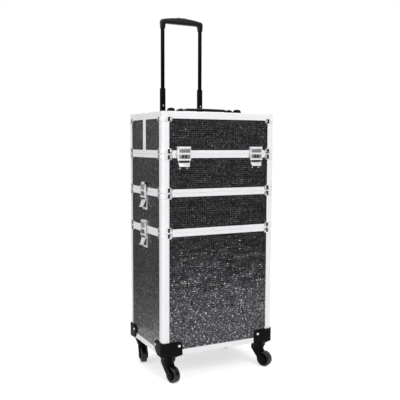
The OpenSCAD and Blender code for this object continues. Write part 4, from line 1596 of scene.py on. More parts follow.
    def rivets(self) -> list[Matrix]:
        """Places of the two rivets under the lever."""
        z = self.tip_z - self.rivet_zone / 2
        return [self.place @ shifted(s * self.rivet_pitch / 2, -self.leaf, z) @ TO_FRONT for s in BOTH_SIDES]


@dataclass
class LatchSet:
    """All six latches with the leaves and plates that hold them."""

    shop: Workshop
    soft: float = 0.3 * MM
    front: dict[str, float] = field(default_factory=lambda: {"flare": 3.0 * MM, "taper": 0.14})
    side: dict[str, float] = field(default_factory=lambda: {"flare": 7.0 * MM, "taper": 0.42})
    rivet_r: float = 2.4 * MM
    rivet_tall: float = 1.5 * MM
    rivet_foot: float = 0.2 * MM
    rivet_side: Drawing = ((1.0, 0.5), (0.7, 0.9))

    def build(self) -> None:
        """Makes the latches, leaves, plates and rivets."""
        holders: dict[str, list[Matrix]] = {"bottom_latch_plates": [], "middle_latch_mounts": [],
                                            "top_latch_mounts": [], "front_hasp_leaves": []}
        shades: dict[str, list[Object]] = {holder: [] for holder in holders}
        for level, holder in (("front", "top_latch_mounts"), ("upper", "middle_latch_mounts"),
                              ("lower", "bottom_latch_plates")):
            for side in Side:
                latch = Latch(self.shop, f"{level}_{side.name.lower()}", self._seam(level, side),
                              **(self.front if level == "front" else self.side))
                latch.build()
                holders[holder] += latch.rivets()
                shades[holder].append(latch.shade())
        bodies = ("bottom_case", "middle_case", "top_case", "front_lid")
        for (node, places), body in zip(holders.items(), bodies):
            # The front latches' mounts are painted dark, as shade behind their levers; the other holders stay
            # bright steel
            look = Look.PLATE if node == "top_latch_mounts" else Look.STEEL
            self.shop.refine(node, f"{node}_pressings", body, Slot.STEEL, look, self.soft)
            if places:
                rivet = headed("latch_rivet", self.rivet_r, self.rivet_tall, self.rivet_foot, self.rivet_side)
                self.shop.settle(placed(f"{node}_rivets", rivet, places), body, Slot.STEEL, Look.STEEL)
                # The dark fields behind the levers are painted shadow
                self.shop.settle(joined(f"{node}_shades", shades[node]), body, Slot.STEEL, Look.PLATE)

    def _seam(self, level: str, side: Side) -> Matrix:
        """Place of a latch on its seam, with -Y away from the case.

        Args:
            level: Which seam.
            side: Left or right.

        Returns:
            The place.
        """
        below = {"front": "top_frame", "upper": "middle_frame", "lower": "bottom_frame"}[level]
        low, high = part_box(below)
        seam = high.z - Extrusion().tongue_tall
        if level == "front":
            hasp_low, hasp_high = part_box(f"hasp_front_{side.name.lower()}")
            return shifted((hasp_low.x + hasp_high.x) / 2, low.y, seam)
        return shifted(side.value * high.x, 0.0, seam) @ turned(side.value * 90.0)


@dataclass
class LidHinge:
    """The long hinge along the split of the lid."""

    shop: Workshop
    screw_r: float = 1.9 * MM
    screw_tall: float = 0.7 * MM
    screw_foot: float = 0.2 * MM
    screw_side: Drawing = ((1.0, 0.3), (0.8, 0.8))
    screw_in: float = 3.2 * MM
    screw_z: float = 1.2 * MM
    screws: int = 9
    recess: Point = (0.55, 0.14)
    recess_z: Point = (0.45, 2.0)
    leaf_soft: float = 0.25 * MM

    def build(self) -> None:
        """Makes both leaves with their screws."""
        for node, body in (("rear_hinge_leaf", "top_case"), ("front_hinge_leaf", "front_lid")):
            low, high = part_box(node)
            leaf = self.shop.softened(node, f"{node}_knuckles", self.leaf_soft)
            y = high.y - self.screw_in if node.startswith("rear") else low.y + self.screw_in
            pitch = (high.x - low.x) / self.screws
            places = [shifted(low.x + pitch * (k + 0.5), y, low.z + self.screw_z) for k in range(self.screws)]
            screws = placed(f"{node}_screws", self._screw(), places)
            piece = joined(f"{node}_pressing", [leaf, screws])
            self.shop.settle(piece, body, Slot.STEEL, Look.STEEL, node)

    def _screw(self) -> Object:
        """A countersunk screw head with a cross recess, on z = 0.

        Returns:
            The head.
        """
        head = headed("hinge_screw", self.screw_r, self.screw_tall, self.screw_foot, self.screw_side)
        long, slim = (self.screw_r * share for share in self.recess)
        low, high = (self.screw_tall * share for share in self.recess_z)
        for x, y in ((long, slim), (slim, long)):
            cut_away(head, block("recess", (-x, -y, low), (x, y, high)))
        return smoothed(head, FINE_BELOW)


@dataclass
class CarryHandle:
    """Strap handle on the front half of the lid, with its two anchors."""

    shop: Workshop
    anchor_half: float = 10.0 * MM
    slot_gap: float = 0.25 * MM
    slot_tall: float = 11.0 * MM
    grip_half: float = 64.0 * MM
    grip_swell: float = 2.0 * MM
    shoulder: float = 5.0 * MM
    strap_t: float = 2.5 * MM
    knob_in: float = 26.0 * MM
    knob_half: float = 9.0 * MM
    knob_tall: float = 6.0 * MM
    grip_drop: float = 1.5 * MM
    bow: float = 1.0 * MM
    flutes: int = 15
    flute: float = 0.35 * MM
    stations: int = 128
    lift: float = 5.0 * MM
    end_flat: float = 10.0 * MM
    strap_power: float = 6.0
    grip_less: float = 3.2
    dome_rings: int = 9
    dome_turn: float = 10.0
    dome_round: float = 0.4
    dome_power: float = 3.0

    def build(self) -> None:
        """Makes the strap, the grip and the anchors."""
        self._strap()
        low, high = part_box("handle_anchors")
        anchors = [self._anchor(s * (high.x - self.anchor_half), low, high) for s in BOTH_SIDES]
        piece = joined("handle_anchor_mouldings", anchors)
        self.shop.settle(piece, "front_lid", Slot.PLASTIC, Look.PLASTIC, "handle_anchors")

    def _anchor(self, x: float, low: Vector, high: Vector) -> Object:
        """A domed anchor with a slot for the strap.

        Args:
            x: Its middle.
            low: Lowest corner of the anchors.
            high: Highest corner of the anchors.

        Returns:
            The anchor.
        """
        middle = (low.y + high.y) / 2
        deep = (high.y - low.y) / 2
        top = math.sin(math.radians(self.dome_turn * (self.dome_rings - 1)))
        rings = []
        for k in range(self.dome_rings):
            angle = math.radians(self.dome_turn * k)
            keep = math.cos(angle) ** self.dome_round
            centre = Vector((x, middle, low.z + (high.z - low.z) * math.sin(angle) / top))
            across, along = Vector((self.anchor_half * keep, 0.0, 0.0)), Vector((0.0, deep * keep, 0.0))
            rings.append(oval(centre, across, along, self.dome_power))
        dome = lofted("anchor", rings)
        strap_low, strap_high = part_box("carry_handle")
        wide = (strap_high.y - strap_low.y) / 2 - self.grip_swell + 2.0 * self.slot_gap
        inner = x - math.copysign(self.anchor_half * 2.0, x)
        outer = math.copysign(strap_high.x + self.slot_gap, x)
        slot = block("slot", (min(inner, outer), middle - wide, strap_low.z - self.slot_gap),
                     (max(inner, outer), middle + wide, strap_low.z + self.slot_tall))
        return smoothed(cut_away(dome, slot), CUT_BELOW)

    def _strap(self) -> None:
        """Lofts the strap, flat in its anchors, with a knob beside each and thick where the hand holds it."""
        low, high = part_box("carry_handle")
        middle = (low.y + high.y) / 2
        strap_half = (high.y - low.y) / 2 - self.grip_swell
        flat = high.x - self.end_flat
        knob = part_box("handle_anchors")[1].x - self.anchor_half - self.knob_in
        rings = []
        for k in range(self.stations + 1):
            x = low.x + (high.x - low.x) * k / self.stations
            away = abs(x)
            thick = ease((self.grip_half - away) / self.shoulder)
            raised = ease((flat - away) / (flat - self.grip_half))
            bottom = low.z + self.lift * raised
            bulge = max(0.0, 1.0 - ((away - knob) / self.knob_half) ** 2) ** 0.5
            top_flat = bottom + self.strap_t + self.knob_tall * bulge
            top_grip = high.z - self.grip_drop - self.bow * (away / self.grip_half) ** 2
            top = top_flat + (top_grip - top_flat) * thick
            ripple = self.flute * thick * math.cos(math.tau * self.flutes * x / (2.0 * self.grip_half))
            half = strap_half + (self.grip_swell + ripple - self.flute) * thick
            centre = Vector((x, middle, (bottom + top) / 2))
            power = self.strap_power - self.grip_less * thick
            across, up = Vector((0.0, half, 0.0)), Vector((0.0, 0.0, (top - bottom) / 2))
            rings.append(oval(centre, across, up, power))
        piece = lofted("carry_handle_grip", rings)
        self.shop.settle(piece, "carry_handle", Slot.STRAP, Look.GRIP, "carry_handle")


@dataclass
class Trolley:
    """Telescopic trolley: outer, middle and inner tubes, grip and button."""

    shop: Workshop
    pin_r: float = 1.9 * MM
    pin_tall: float = 0.08 * MM
    pin_foot: float = 0.4 * MM
    pin_side: Drawing = ((1.0, 0.4), (0.7, 0.85))
    pin_z: float = 22.0 * MM
    bar: float = 19.0 * MM
    arch: float = 6.0 * MM
    arch_steps: int = 12
    corner_r: float = 9.0 * MM
    corner_from: float = 75.0
    inner_r: float = 5.0 * MM
    leg_top: float = 7.4 * MM
    leg_foot: float = 6.4 * MM
    leg_wall: float = 0.4 * MM
    grip_round: float = 4.6 * MM
    grip_faces: int = 5
    tube_half: float = 6.0 * MM
    tube_gap: float = 0.1 * MM
    tube_soft: float = 0.3 * MM
    collar_soft: float = 0.8 * MM
    socket_deep: float = 14.0 * MM
    button_gap: float = 0.3 * MM
    button_room: float = 3.5 * MM
    button_soft: float = 1.4 * MM
    bracket_soft: float = 1.2 * MM
    bracket_tall: float = 20.0 * MM
    screw_x: tuple[float, ...] = (-30.0 * MM, 0.0, 30.0 * MM)
    screw_sunk: float = 0.1 * MM
    screw_side: Drawing = ((0.0, -1.0), (3.4, -1.0), (3.4, 0.5), (2.6, 1.3), (1.5, 1.5), (1.3, 0.7),
                           (0.0, 0.7))

    def build(self) -> None:
        """Makes the tubes, collars, brackets, pins, grip and button."""
        for node, body in (("trolley_tubes", "bottom_case"), ("trolley_mid_tubes", "trolley_mid"),
                           ("trolley_inner_tubes", "trolley_inner")):
            piece = marked(self.shop.softened(node, f"{node}_drawn", self.tube_soft), "upright", 1.0)
            self.shop.settle(piece, body, Slot.TUBE, Look.TUBE, node)
        for node, name, width in (
            ("trolley_collars", "trolley_collar_rings", self.collar_soft),
            ("trolley_brackets", "trolley_bracket_blocks", self.bracket_soft),
        ):
            self.shop.refine(node, name, "bottom_case", Slot.PLASTIC, Look.PLASTIC, width, 3)
        self._screws()
        self._pins()
        self._grip()
        self.shop.refine("trolley_button", "trolley_button_cap", "trolley_button", Slot.PLASTIC, Look.PLASTIC,
                         self.button_soft, 4)

    def _screws(self) -> None:
        """The screws of the two brackets on the back."""
        low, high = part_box("trolley_brackets")
        places = [shifted(x, high.y - self.screw_sunk, z) @ TO_BACK for x in self.screw_x
                  for z in (low.z + self.bracket_tall / 2, high.z - self.bracket_tall / 2)]
        head = spun("bracket_screw", scaled(self.screw_side, MM, MM), steps=20)
        piece = placed("trolley_bracket_screws", head, places)
        self.shop.settle(piece, "bottom_case", Slot.STEEL, Look.STEEL)

    def _pins(self) -> None:
        """Small catch pins, flush with the front of the middle tubes."""
        low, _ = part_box("trolley_mid_tubes")
        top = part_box("trolley_collars")[1].z
        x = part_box("trolley_inner_tubes")[1].x - self.tube_half
        head = headed("catch_pin", self.pin_r, self.pin_tall, self.pin_foot, self.pin_side)
        places = [shifted(s * x, low.y, top + self.pin_z) @ TO_FRONT for s in BOTH_SIDES]
        self.shop.settle(placed("trolley_catch_pins", head, places), "trolley_mid", Slot.STEEL, Look.STEEL)

    def _outline(self, low: Vector, high: Vector, leg_x: float) -> list[Point]:
        """Front view of the grip: an arched bar on two legs that grow wider towards it.

        Args:
            low: Lowest corner of the grip.
            high: Highest corner of the grip.
            leg_x: Distance of a leg from the middle.

        Returns:
            Points round the outline.
        """
        under = high.z - self.bar
        shoulder = leg_x + self.leg_top - self.corner_r
        inner = leg_x - self.leg_top - self.inner_r
        right: list[Point] = []
        for k in range(self.arch_steps + 1):
            x = shoulder * k / self.arch_steps
            right.append((x, high.z - self.arch * (x / shoulder) ** 2))
        crest = right[-1][1]
        right += arc((shoulder, crest - self.corner_r), self.corner_r, self.corner_from, 0.0)
        right += [(leg_x + self.leg_foot, low.z), (leg_x - self.leg_foot, low.z)]
        right += arc((inner, under - self.inner_r), self.inner_r, 0.0, 90.0)
        return right + [(-x, z) for x, z in reversed(right) if x > 0.0]

    def _grip(self) -> None:
        """The arched grip, with the button's pocket and the tubes' sockets."""
        low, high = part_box("trolley_grip")
        tube_low, tube_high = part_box("trolley_inner_tubes")
        leg_x = tube_high.x - self.tube_half
        deep = high.y - low.y
        outline = self._outline(low, high, leg_x)
        piece = moved(extruded("trolley_grip_moulding", outline, deep), shifted(0.0, high.y, 0.0) @ TO_FRONT)
        rounded(piece, self.grip_round, self.grip_faces)
        self._slim_legs(piece, low.z, high.z - self.bar, (tube_low.y, tube_high.y))
        button_low, button_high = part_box("trolley_button")
        margin = Vector((self.button_gap, self.button_gap, self.button_room))
        cut_away(piece, block("pocket", button_low - margin, button_high + margin))
        for s in BOTH_SIDES:
            middle = Vector((s * leg_x, (tube_low.y + tube_high.y) / 2, low.z))
            reach = Vector((self.tube_half, (tube_high.y - tube_low.y) / 2, self.socket_deep))
            gap = Vector((self.tube_gap, self.tube_gap, 0.0))
            cut_away(piece, block("socket", middle - reach - gap, middle + reach + gap))
        self.shop.settle(smoothed(piece, CUT_BELOW), "trolley_inner", Slot.PLASTIC, Look.GRIP, "trolley_grip")

    def _slim_legs(self, piece: Object, foot: float, under: float, tubes: Point) -> None:
        """Draws the legs in from front to back until they are hardly deeper than the tubes.

        Args:
            piece: The grip.
            foot: Height of the legs' ends.
            under: Height of the bar's underside.
            tubes: Front and back of the tubes.
        """
        middle = (tubes[0] + tubes[1]) / 2
        reach = (tubes[1] - tubes[0]) / 2 + self.leg_wall
        for vertex in piece.data.vertices:
            share = ease((under - vertex.co.z) / (under - foot))
            away = vertex.co.y - middle
            slim = math.copysign(min(abs(away), reach), away)
            vertex.co.y += (slim - away) * share


@dataclass
class Castors:
    """Four swivel castors with their corner brackets."""

    shop: Workshop
    joints: list[dict[str, Any]]
    wheel_r: float = 22.0 * MM
    wheel_half: float = 9.0 * MM
    cheek_in: float = 9.5 * MM
    cheek_t: float = 3.4 * MM
    head_r: float = 18.0 * MM
    stem_r: float = 5.0 * MM
    axle_r: float = 3.0 * MM
    plate: float = 3.0 * MM
    socket: float = 10.0 * MM
    in_x: float = 27.0 * MM
    in_y: float = 25.0 * MM
    wide_x: float = 58.0 * MM
    wide_y: float = 50.0 * MM
    ear_r: float = 10.0 * MM
    ear_steps: int = 4
    corner_r: float = 15.0 * MM
    end_r: float = 4.0 * MM
    post_r: float = 8.0 * MM
    bell_r: float = 20.2 * MM
    bell_lip: float = 0.35 * MM
    bell_steps: int = 10
    sweep: float = 1.9
    draw_r: float = 26.0 * MM
    draw_tall: float = 24.0 * MM
    draw_steps: int = 5
    soft: float = 0.9 * MM
    stem_gap: float = 0.06 * MM
    case_room: float = 0.2
    rivet_in: float = 11.0 * MM
    rivet_r: float = 3.4 * MM
    rivet_tall: float = 1.9 * MM
    rivet_foot: float = 0.3 * MM
    rivet_side: Drawing = ((1.0, 0.35), (0.75, 0.8), (0.4, 1.0))
    stem_tall: float = 9.0 * MM
    head_over: float = 4.0 * MM
    neck_in: float = 1.4 * MM
    brow_in: tuple[float, ...] = (2.0 * MM, 2.5 * MM, 1.0 * MM)
    tip_r: float = 11.0 * MM
    tip_turn: Point = (-40.0, -215.0)
    throat: tuple[float, ...] = (14.0 * MM, 56.0 * MM, 27.0 * MM)
    throat_turn: Point = (-62.0, -14.0)
    arch_gap: float = 2.0 * MM
    mouth: tuple[float, ...] = (30.0 * MM, 6.0 * MM, 1.0 * MM)
    fork_soft: float = 1.0 * MM
    cap_over: float = 1.6 * MM
    tyre_t: float = 6.0 * MM
    tyre_edge: float = 0.6 * MM
    shoulder: float = 3.2 * MM
    shoulder_turn: float = 75.0
    groove_z: float = 2.6 * MM
    bore_gap: float = 0.06 * MM
    # Sides of turned pieces in millimetres from a point of each; the axle's cap is in shares of its radius
    neck_side: Drawing = ((-2.0, 0.0), (-0.4, 1.6), (0.0, 4.0), (0.9, 7.5))
    flare_side: Point = (-0.9, 10.6)
    lip_side: Drawing = ((0.0, -0.3), (-0.3, 0.0))
    stem_side: Drawing = ((0.0, -0.6), (-0.6, 0.0))
    groove_side: Drawing = ((0.0, -0.5), (-0.5, -0.3), (-0.5, 0.3), (0.0, 0.5))
    ring_side: Drawing = ((0.0, -1.0), (-1.6, -0.4), (-2.6, -1.0), (-3.6, -3.0))
    hub_side: Drawing = ((5.0, -3.0), (4.2, -0.6), (3.4, 0.0), (0.0, 0.0))
    cap_side: Drawing = ((0.0, -0.5), (1.0, -0.5), (1.0, 0.5), (0.7, 1.0), (0.45, 1.0), (0.35, 0.5),
                         (0.0, 0.5))

    def __post_init__(self) -> None:
        """Sorts the joints by name and reads the trail from them."""
        self.by_name = {joint["name"]: joint for joint in self.joints}
        swivel, hub = (self.by_name[name]["pos_m"]
                       for name in ("fork_front_left_swivel", "wheel_front_left_spin"))
        self.trail = math.hypot(hub[0] - swivel[0], hub[1] - swivel[1])

    @property
    def hub_place(self) -> Matrix:
        """Middle of a wheel, with the swivel at the origin."""
        return shifted(0.0, -self.trail, self.wheel_r)

    def build(self) -> None:
        """Makes the brackets, forks and wheels."""
        self._brackets()
        kit = ((self._fork(), "fork", "moulding", Slot.PLASTIC, Look.PLASTIC, True),
               (self._axle(), "fork", "axle_caps", Slot.PLASTIC, Look.TUBE, False),
               (self._wheel(), "wheel", "tyre", Slot.TREAD, Look.TREAD, True),
               (self._hub(), "wheel", "hub", Slot.TREAD, Look.PLASTIC, False))
        for corner in [f"{end}_{side.name.lower()}" for end in ("front", "rear") for side in Side]:
            for pattern, part, ending, slot, look, stands in kit:
                body = f"{part}_{corner}"
                piece = copied(pattern, f"{body}_{ending}", self._swivel(corner))
                self.shop.settle(piece, body, slot, look, *([body] if stands else []))
        for pattern, *_ in kit:
            discard(pattern)

    def _swivel(self, name: str) -> Matrix:
        """Place of a swivel axis on the floor, turned to its castor's rest direction.

        Args:
            name: The castor's corner.

        Returns:
            The place.
        """
        x, y, _ = self.by_name[f"fork_{name}_swivel"]["pos_m"]
        along = self.by_name[f"wheel_{name}_spin"]["axis"]
        return shifted(x, y, 0.0) @ turned(math.degrees(math.atan2(along[1], along[0])))

    def _brackets(self) -> None:
        """The corner brackets with bell-shaped sockets and rivets."""
        low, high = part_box("castor_brackets")
        frame_low, frame_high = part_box("bottom_frame")
        proud = frame_low.x - low.x
        shells = []
        rivets = []
        for sx in BOTH_SIDES:
            for sy in BOTH_SIDES:
                corner = Vector((sx * frame_high.x, sy * frame_high.y, frame_low.z))
                shells.append(self._bracket(corner, sx, sy, proud, high.z))
                z = high.z - self.rivet_in
                x = corner.x - sx * (self.wide_x - self.rivet_in)
                y = corner.y - sy * (self.wide_y - self.rivet_in)
                rivets.append(shifted(x, corner.y + sy * proud, z) @ (TO_FRONT if sy < 0 else TO_BACK))
                rivets.append(shifted(corner.x + sx * proud, y, z) @ (TO_LEFT if sx < 0 else TO_RIGHT))
        piece = joined("castor_bracket_mouldings", shells)
        self.shop.settle(piece, "bottom_case", Slot.PLASTIC, Look.PLASTIC, "castor_brackets")
        head = headed("bracket_rivet", self.rivet_r, self.rivet_tall, self.rivet_foot, self.rivet_side,
                      steps=20)
        self.shop.settle(placed("castor_bracket_rivets", head, rivets), "bottom_case", Slot.STEEL, Look.STEEL)

    def _bracket(self, corner: Vector, sx: float, sy: float, proud: float, top: float) -> Object:
        """One bracket: flanges with rounded ears on the case and a bell that sweeps down to its socket.

        Args:
            corner: The case's corner.
            sx: Side of the case along X.
            sy: Side of the case along Y.
            proud: How far the flanges stand out from the case.
            top: Height of the flanges' top.

        Returns:
            The bracket.
        """
        levels = []
        for k in range(self.ear_steps + 1):
            angle = math.radians(90.0 - 90.0 / self.ear_steps * k)
            inset = self.ear_r * (1.0 - math.cos(angle))
            levels.append((top - self.ear_r * (1.0 - math.sin(angle)), 0.0, inset))
        for k in range(1, self.draw_steps):
            levels.append((corner.z + self.draw_tall * (1.0 - k / self.draw_steps), 0.0, 0.0))
        for k in range(self.bell_steps + 1):
            t = k / self.bell_steps
            z = corner.z - (self.plate + self.socket + self.bell_lip) * t
            levels.append((z, 1.0 - (1.0 - t) ** self.sweep, 0.0))
        rings = []
        for z, pull, inset in levels:
            low = tuple(-proud + (at - self.bell_r + proud) * pull for at in (self.in_x, self.in_y))
            high = tuple(wide - inset - (wide - at - self.bell_r) * pull
                         for wide, at in ((self.wide_x, self.in_x), (self.wide_y, self.in_y)))
            drawn_in = min(1.0, max(0.0, (corner.z + self.draw_tall - z) / self.draw_tall))
            tail_r = self.end_r + (self.draw_r - self.end_r) * drawn_in * drawn_in
            radii = [r + (self.bell_r - r) * pull for r in (self.corner_r, self.end_r, self.end_r, tail_r)]
            ring = rounded_box(low, high, radii, z)
            rings.append([Vector((corner.x - sx * p.x, corner.y - sy * p.y, p.z)) for p in ring])
        shell = lofted("bracket", rings)
        far = self.case_room
        room = [(0.0, self.post_r)] + arc((self.post_r, self.post_r), self.post_r, 180.0, 270.0)[1:]
        room += [(far, 0.0), (far, far), (0.0, far)]
        room = [(corner.x - sx * x, corner.y - sy * y) for x, y in room]
        cut_away(shell, moved(extruded("case_room", room, far), shifted(0.0, 0.0, corner.z)))
        hole, roof = self.stem_r + self.stem_gap, corner.z - self.plate
        middle = shifted(corner.x - sx * self.in_x, corner.y - sy * self.in_y, 0.0)
        cut_away(shell, moved(spun("hole", [(0.0, 0.0), (hole, 0.0), (hole, roof), (0.0, roof)]), middle))
        return rounded(shell, self.soft, segments=3)

    def _fork(self) -> Object:
        """A hooded fork with its head and stem, swivel at the origin.

        Returns:
            The fork.
        """
        _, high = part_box("fork_front_left")
        head_top = high.z - self.stem_tall
        head_low = 2.0 * self.wheel_r + self.head_over
        back_in, heel_in, edge = self.brow_in
        back = [(self.head_r - back_in, head_top - edge), (self.head_r - heel_in, head_low + edge)]
        tip = arc((-self.trail, self.wheel_r), self.tip_r, *self.tip_turn, steps=16)
        ahead, up, radius = self.throat
        throat = arc((-self.trail - ahead, up), radius, *self.throat_turn, steps=8)
        brow = [(-self.head_r + edge, head_top - edge)]
        half, cheek, arch_r = self.cheek_in + self.cheek_t, self.cheek_in, self.wheel_r + self.arch_gap
        body = extruded("fork", back + tip + throat + brow, 2.0 * half)
        moved(body, ALONG_X @ shifted(0.0, 0.0, -half))
        arch = spun("arch", [(0.0, -cheek), (arch_r, -cheek), (arch_r, cheek), (0.0, cheek)], steps=48)
        cut_away(body, moved(arch, self.hub_place @ TO_RIGHT))
        ahead, behind, under = self.mouth
        cut_away(body, block("mouth", (-cheek, -self.trail - ahead, -under),
                             (cheek, -self.trail + behind, self.wheel_r)))
        rounded(body, self.fork_soft, segments=3)
        side = [*drawn(self.neck_side, self.head_r - self.neck_in, head_low),
                *drawn([self.flare_side], self.bell_r, head_low),
                *drawn(self.lip_side, self.bell_r, head_top),
                (self.stem_r, head_top), *drawn(self.stem_side, self.stem_r, high.z)]
        head = spun("head", [(0.0, head_low), *side, (0.0, high.z)], steps=40)
        return smoothed(joined("fork", [body, head]), CUT_BELOW)

    def _axle(self) -> Object:
        """The two ends of the axle, outside the cheeks.

        Returns:
            Both ends as one piece.
        """
        reach = self.cheek_in + self.cheek_t
        cap = spun("axle_cap", scaled(self.cap_side, self.axle_r + self.cap_over, MM), steps=24)
        return placed("axle_caps", cap, [self.hub_place @ shifted(-reach, 0.0, 0.0) @ TO_LEFT,
                                         self.hub_place @ shifted(reach, 0.0, 0.0) @ TO_RIGHT])

    def _wheel(self) -> Object:
        """The tyre: a crowned tread with two fine grooves.

        Returns:
            The tyre, swivel at the origin.
        """
        half, r, edge = self.wheel_half, self.wheel_r, self.shoulder
        inner = r - self.tyre_t
        outline = [(inner, -half + self.tyre_edge), (r - edge, -half)]
        outline += arc((r - edge, -half + edge), edge, -self.shoulder_turn, 0.0, steps=5)
        for z in (-self.groove_z, self.groove_z):
            outline += drawn(self.groove_side, r, z)
        outline += arc((r - edge, half - edge), edge, 0.0, self.shoulder_turn, steps=5)
        outline += [(r - edge, half), (inner, half - self.tyre_edge)]
        return moved(spun("tyre", outline, steps=48), self.hub_place @ TO_RIGHT)

    def _hub(self) -> Object:
        """The wheel's core: a dished web with a boss and a raised ring on each side.

        Returns:
            The hub, swivel at the origin.
        """
        side = [*drawn(self.ring_side, self.wheel_r - self.tyre_t, self.wheel_half),
                *drawn(self.hub_side, self.axle_r + self.bore_gap, self.wheel_half)]
        outline = side + [(radius, -z) for radius, z in reversed(side)]
        return moved(spun("hub", outline, steps=40), self.hub_place @ TO_RIGHT)


@dataclass
class Interior:
    """Dividers, tray and the tray's ledges."""

    shop: Workshop
    softs: tuple[float, ...] = (1.2 * MM, 0.8 * MM, 0.7 * MM)

    def build(self) -> None:
        """Rounds the inner pieces and gives them their finishes."""
        dividers, ledges, tray = self.softs
        for node, body, width, slot, look in (
            ("middle_dividers", "middle_case", dividers, Slot.LINING, Look.VELVET),
            ("tray_ledges", "top_case", ledges, Slot.LINING, Look.VELVET),
            ("makeup_tray", "makeup_tray", tray, Slot.PLASTIC, Look.PLASTIC),
        ):
            self.shop.refine(node, f"{node}_made", body, slot, look, width, segments=3)


@dataclass(frozen=True)
class Lamp:
    """A soft square lamp that points at the case."""

    name: str
    place: tuple[float, float, float]
    size: float
    power: float
    aim: tuple[float, float, float] = (0.0, 0.0, 0.45)

    def build(self) -> None:
        """Hangs the lamp."""
        data = bpy.data.lights.new(self.name, "AREA")
        data.energy = self.power
        data.size = self.size
        lamp = bpy.data.objects.new(self.name, data)
        bpy.context.scene.collection.objects.link(lamp)
        lamp.location = self.place
        lamp.rotation_euler = (Vector(self.aim) - Vector(self.place)).to_track_quat("-Z", "Y").to_euler()


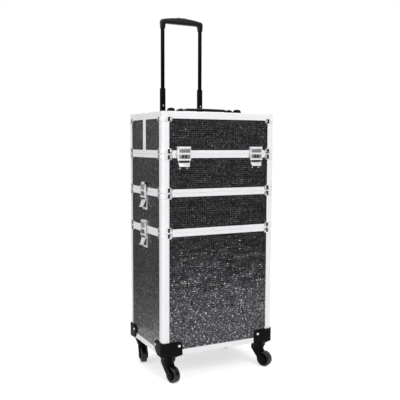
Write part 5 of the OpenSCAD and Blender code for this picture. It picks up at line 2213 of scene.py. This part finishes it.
@dataclass(frozen=True)
class Flag:
    """A dark board out of the picture, for glossy faces to mirror, that pales towards the floor."""

    name: str
    place: tuple[float, float]
    wide: float
    tall: float
    tone: float
    foot_tone: float
    foot_glow: float
    fade: float

    def build(self) -> None:
        """Stands the board up, facing the case."""
        board = started(self.name, bpy.ops.mesh.primitive_plane_add, size=1.0)
        x, y = self.place
        turn = Matrix.Rotation(math.atan2(x, -y), 4, "Z") @ TO_FRONT
        board.matrix_world = (shifted(x, y, self.tall / 2) @ turn
                              @ Matrix.Diagonal((self.wide, self.tall, 1.0, 1.0)))
        material, desk, shader = new_material(self.name)
        apart = desk.add("ShaderNodeSeparateXYZ", {0: desk.add("ShaderNodeTexCoord").outputs["Generated"]})
        rise = desk.math("MULTIPLY", apart.outputs["Y"], self.tall / self.fade)
        desk.fill(shader, {"Base Color": desk.spread(rise, self.foot_tone, self.tone), "Roughness": 1.0,
                           "Emission Strength": desk.spread(rise, self.foot_glow, 0.0),
                           "Emission Color": WHITE})
        board.data.materials.append(material)
        board.visible_camera = board.visible_shadow = board.visible_diffuse = False
        board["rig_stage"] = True


@dataclass(frozen=True)
class Studio:
    """Pale floor, soft lamps, a white room and the camera."""

    camera_place: tuple[float, float, float] = (-0.8142, -1.6055, 0.63825)
    heading: float = -26.865
    dip: float = 5.107
    roll: float = 0.2225
    lens: float = 56.53
    sensor: float = 36.0
    floor_half: float = 9.0
    floor_tone: Colour = (0.82, 0.82, 0.82)
    floor_rough: float = 0.9
    floor_gloss: float = 0.1
    floor_glow: float = 0.6
    room_light: float = 0.5
    lamps: tuple[Lamp, ...] = (
        Lamp("key", (0.2, -2.6, 2.4), 1.5, 40.0),
        Lamp("fill", (-2.4, -0.4, 1.3), 1.4, 13.0),
        Lamp("overhead", (-0.2, 0.1, 2.7), 2.2, 12.0),
    )
    flags: tuple[Flag, ...] = (
        Flag("front_flag", (0.495, -1.01), 1.2, 1.5, 0.01, 0.35, 0.2, 0.12),
        Flag("side_flag", (-0.31, 0.36), 0.8, 0.82, 0.30, 0.5, 0.16, 0.20),
    )

    def build(self) -> None:
        """Sets up the whole studio."""
        bpy.context.scene.view_settings.view_transform = "Standard"
        self._camera()
        self._floor()
        self._room()
        for item in (*self.lamps, *self.flags):
            item.build()

    def _camera(self) -> None:
        """Stands the camera where the photograph was taken."""
        data = bpy.data.cameras.new("camera")
        data.lens = self.lens
        data.sensor_width = self.sensor
        camera = bpy.data.objects.new("camera", data)
        bpy.context.scene.collection.objects.link(camera)
        turn = (Matrix.Rotation(math.radians(self.heading), 4, "Z")
                @ Matrix.Rotation(math.radians(90.0 - self.dip), 4, "X")
                @ Matrix.Rotation(math.radians(self.roll), 4, "Z"))
        camera.matrix_world = Matrix.Translation(self.camera_place) @ turn
        bpy.context.scene.camera = camera

    def _seen(self, desk: NodeDesk) -> Socket:
        """1 for what the camera, a mirror or glass sees, 0 for other light.

        Args:
            desk: The desk of the material or world.

        Returns:
            The socket that holds it.
        """
        path = desk.add("ShaderNodeLightPath")
        seen = desk.math("MAXIMUM", path.outputs["Is Camera Ray"], path.outputs["Is Glossy Ray"])
        return desk.math("MAXIMUM", seen, path.outputs["Is Transmission Ray"])

    def _floor(self) -> None:
        """Lays the floor, which keeps the case's shadow."""
        floor = started("floor", bpy.ops.mesh.primitive_plane_add, size=2.0 * self.floor_half)
        material, desk, shader = new_material("floor")
        desk.fill(shader, {"Base Color": self.floor_tone, "Roughness": self.floor_rough,
                           "Specular IOR Level": self.floor_gloss, "Emission Color": WHITE,
                           "Emission Strength": desk.math("MULTIPLY", self._seen(desk), self.floor_glow)})
        floor.data.materials.append(material)
        floor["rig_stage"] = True

    def _room(self) -> None:
        """Fills the room with white that lights the case softly."""
        world = bpy.data.worlds.new("room")
        world.use_nodes = True
        bpy.context.scene.world = world
        desk = NodeDesk(world.node_tree)
        light = desk.spread(self._seen(desk), self.room_light, 1.0)
        desk.fill(world.node_tree.nodes["Background"], {"Color": WHITE, "Strength": light})


def main() -> None:
    """Loads the frame and builds every sub-assembly in order."""
    logging.basicConfig(level=logging.INFO, format="%(name)s: %(message)s")
    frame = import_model()
    cad_box = tuple(corner.copy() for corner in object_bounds())
    Studio().build()
    shop = Workshop(frame["nodes"])
    shop.mix_finishes()
    extrusion = Extrusion()
    builders: list[Callable[[], None]] = [
        OpenCase(shop, "bottom", "bottom_case", extrusion, low_rim=extrusion.foot).build,
        OpenCase(shop, "middle", "middle_case", extrusion).build,
        OpenCase(shop, "top", "top_case", extrusion).build,
        LidHalf(shop, "rear_lid", "top_case", extrusion).build,
        LidHalf(shop, "front_lid", "front_lid", extrusion).build,
        LatchSet(shop).build,
        LidHinge(shop).build,
        CarryHandle(shop).build,
        Trolley(shop).build,
        Castors(shop, frame["joints"]).build,
        Interior(shop).build,
    ]
    for build in builders:
        build()
    LOG.info("%d pieces made", shop.made)


if __name__ == "__main__":
    main()
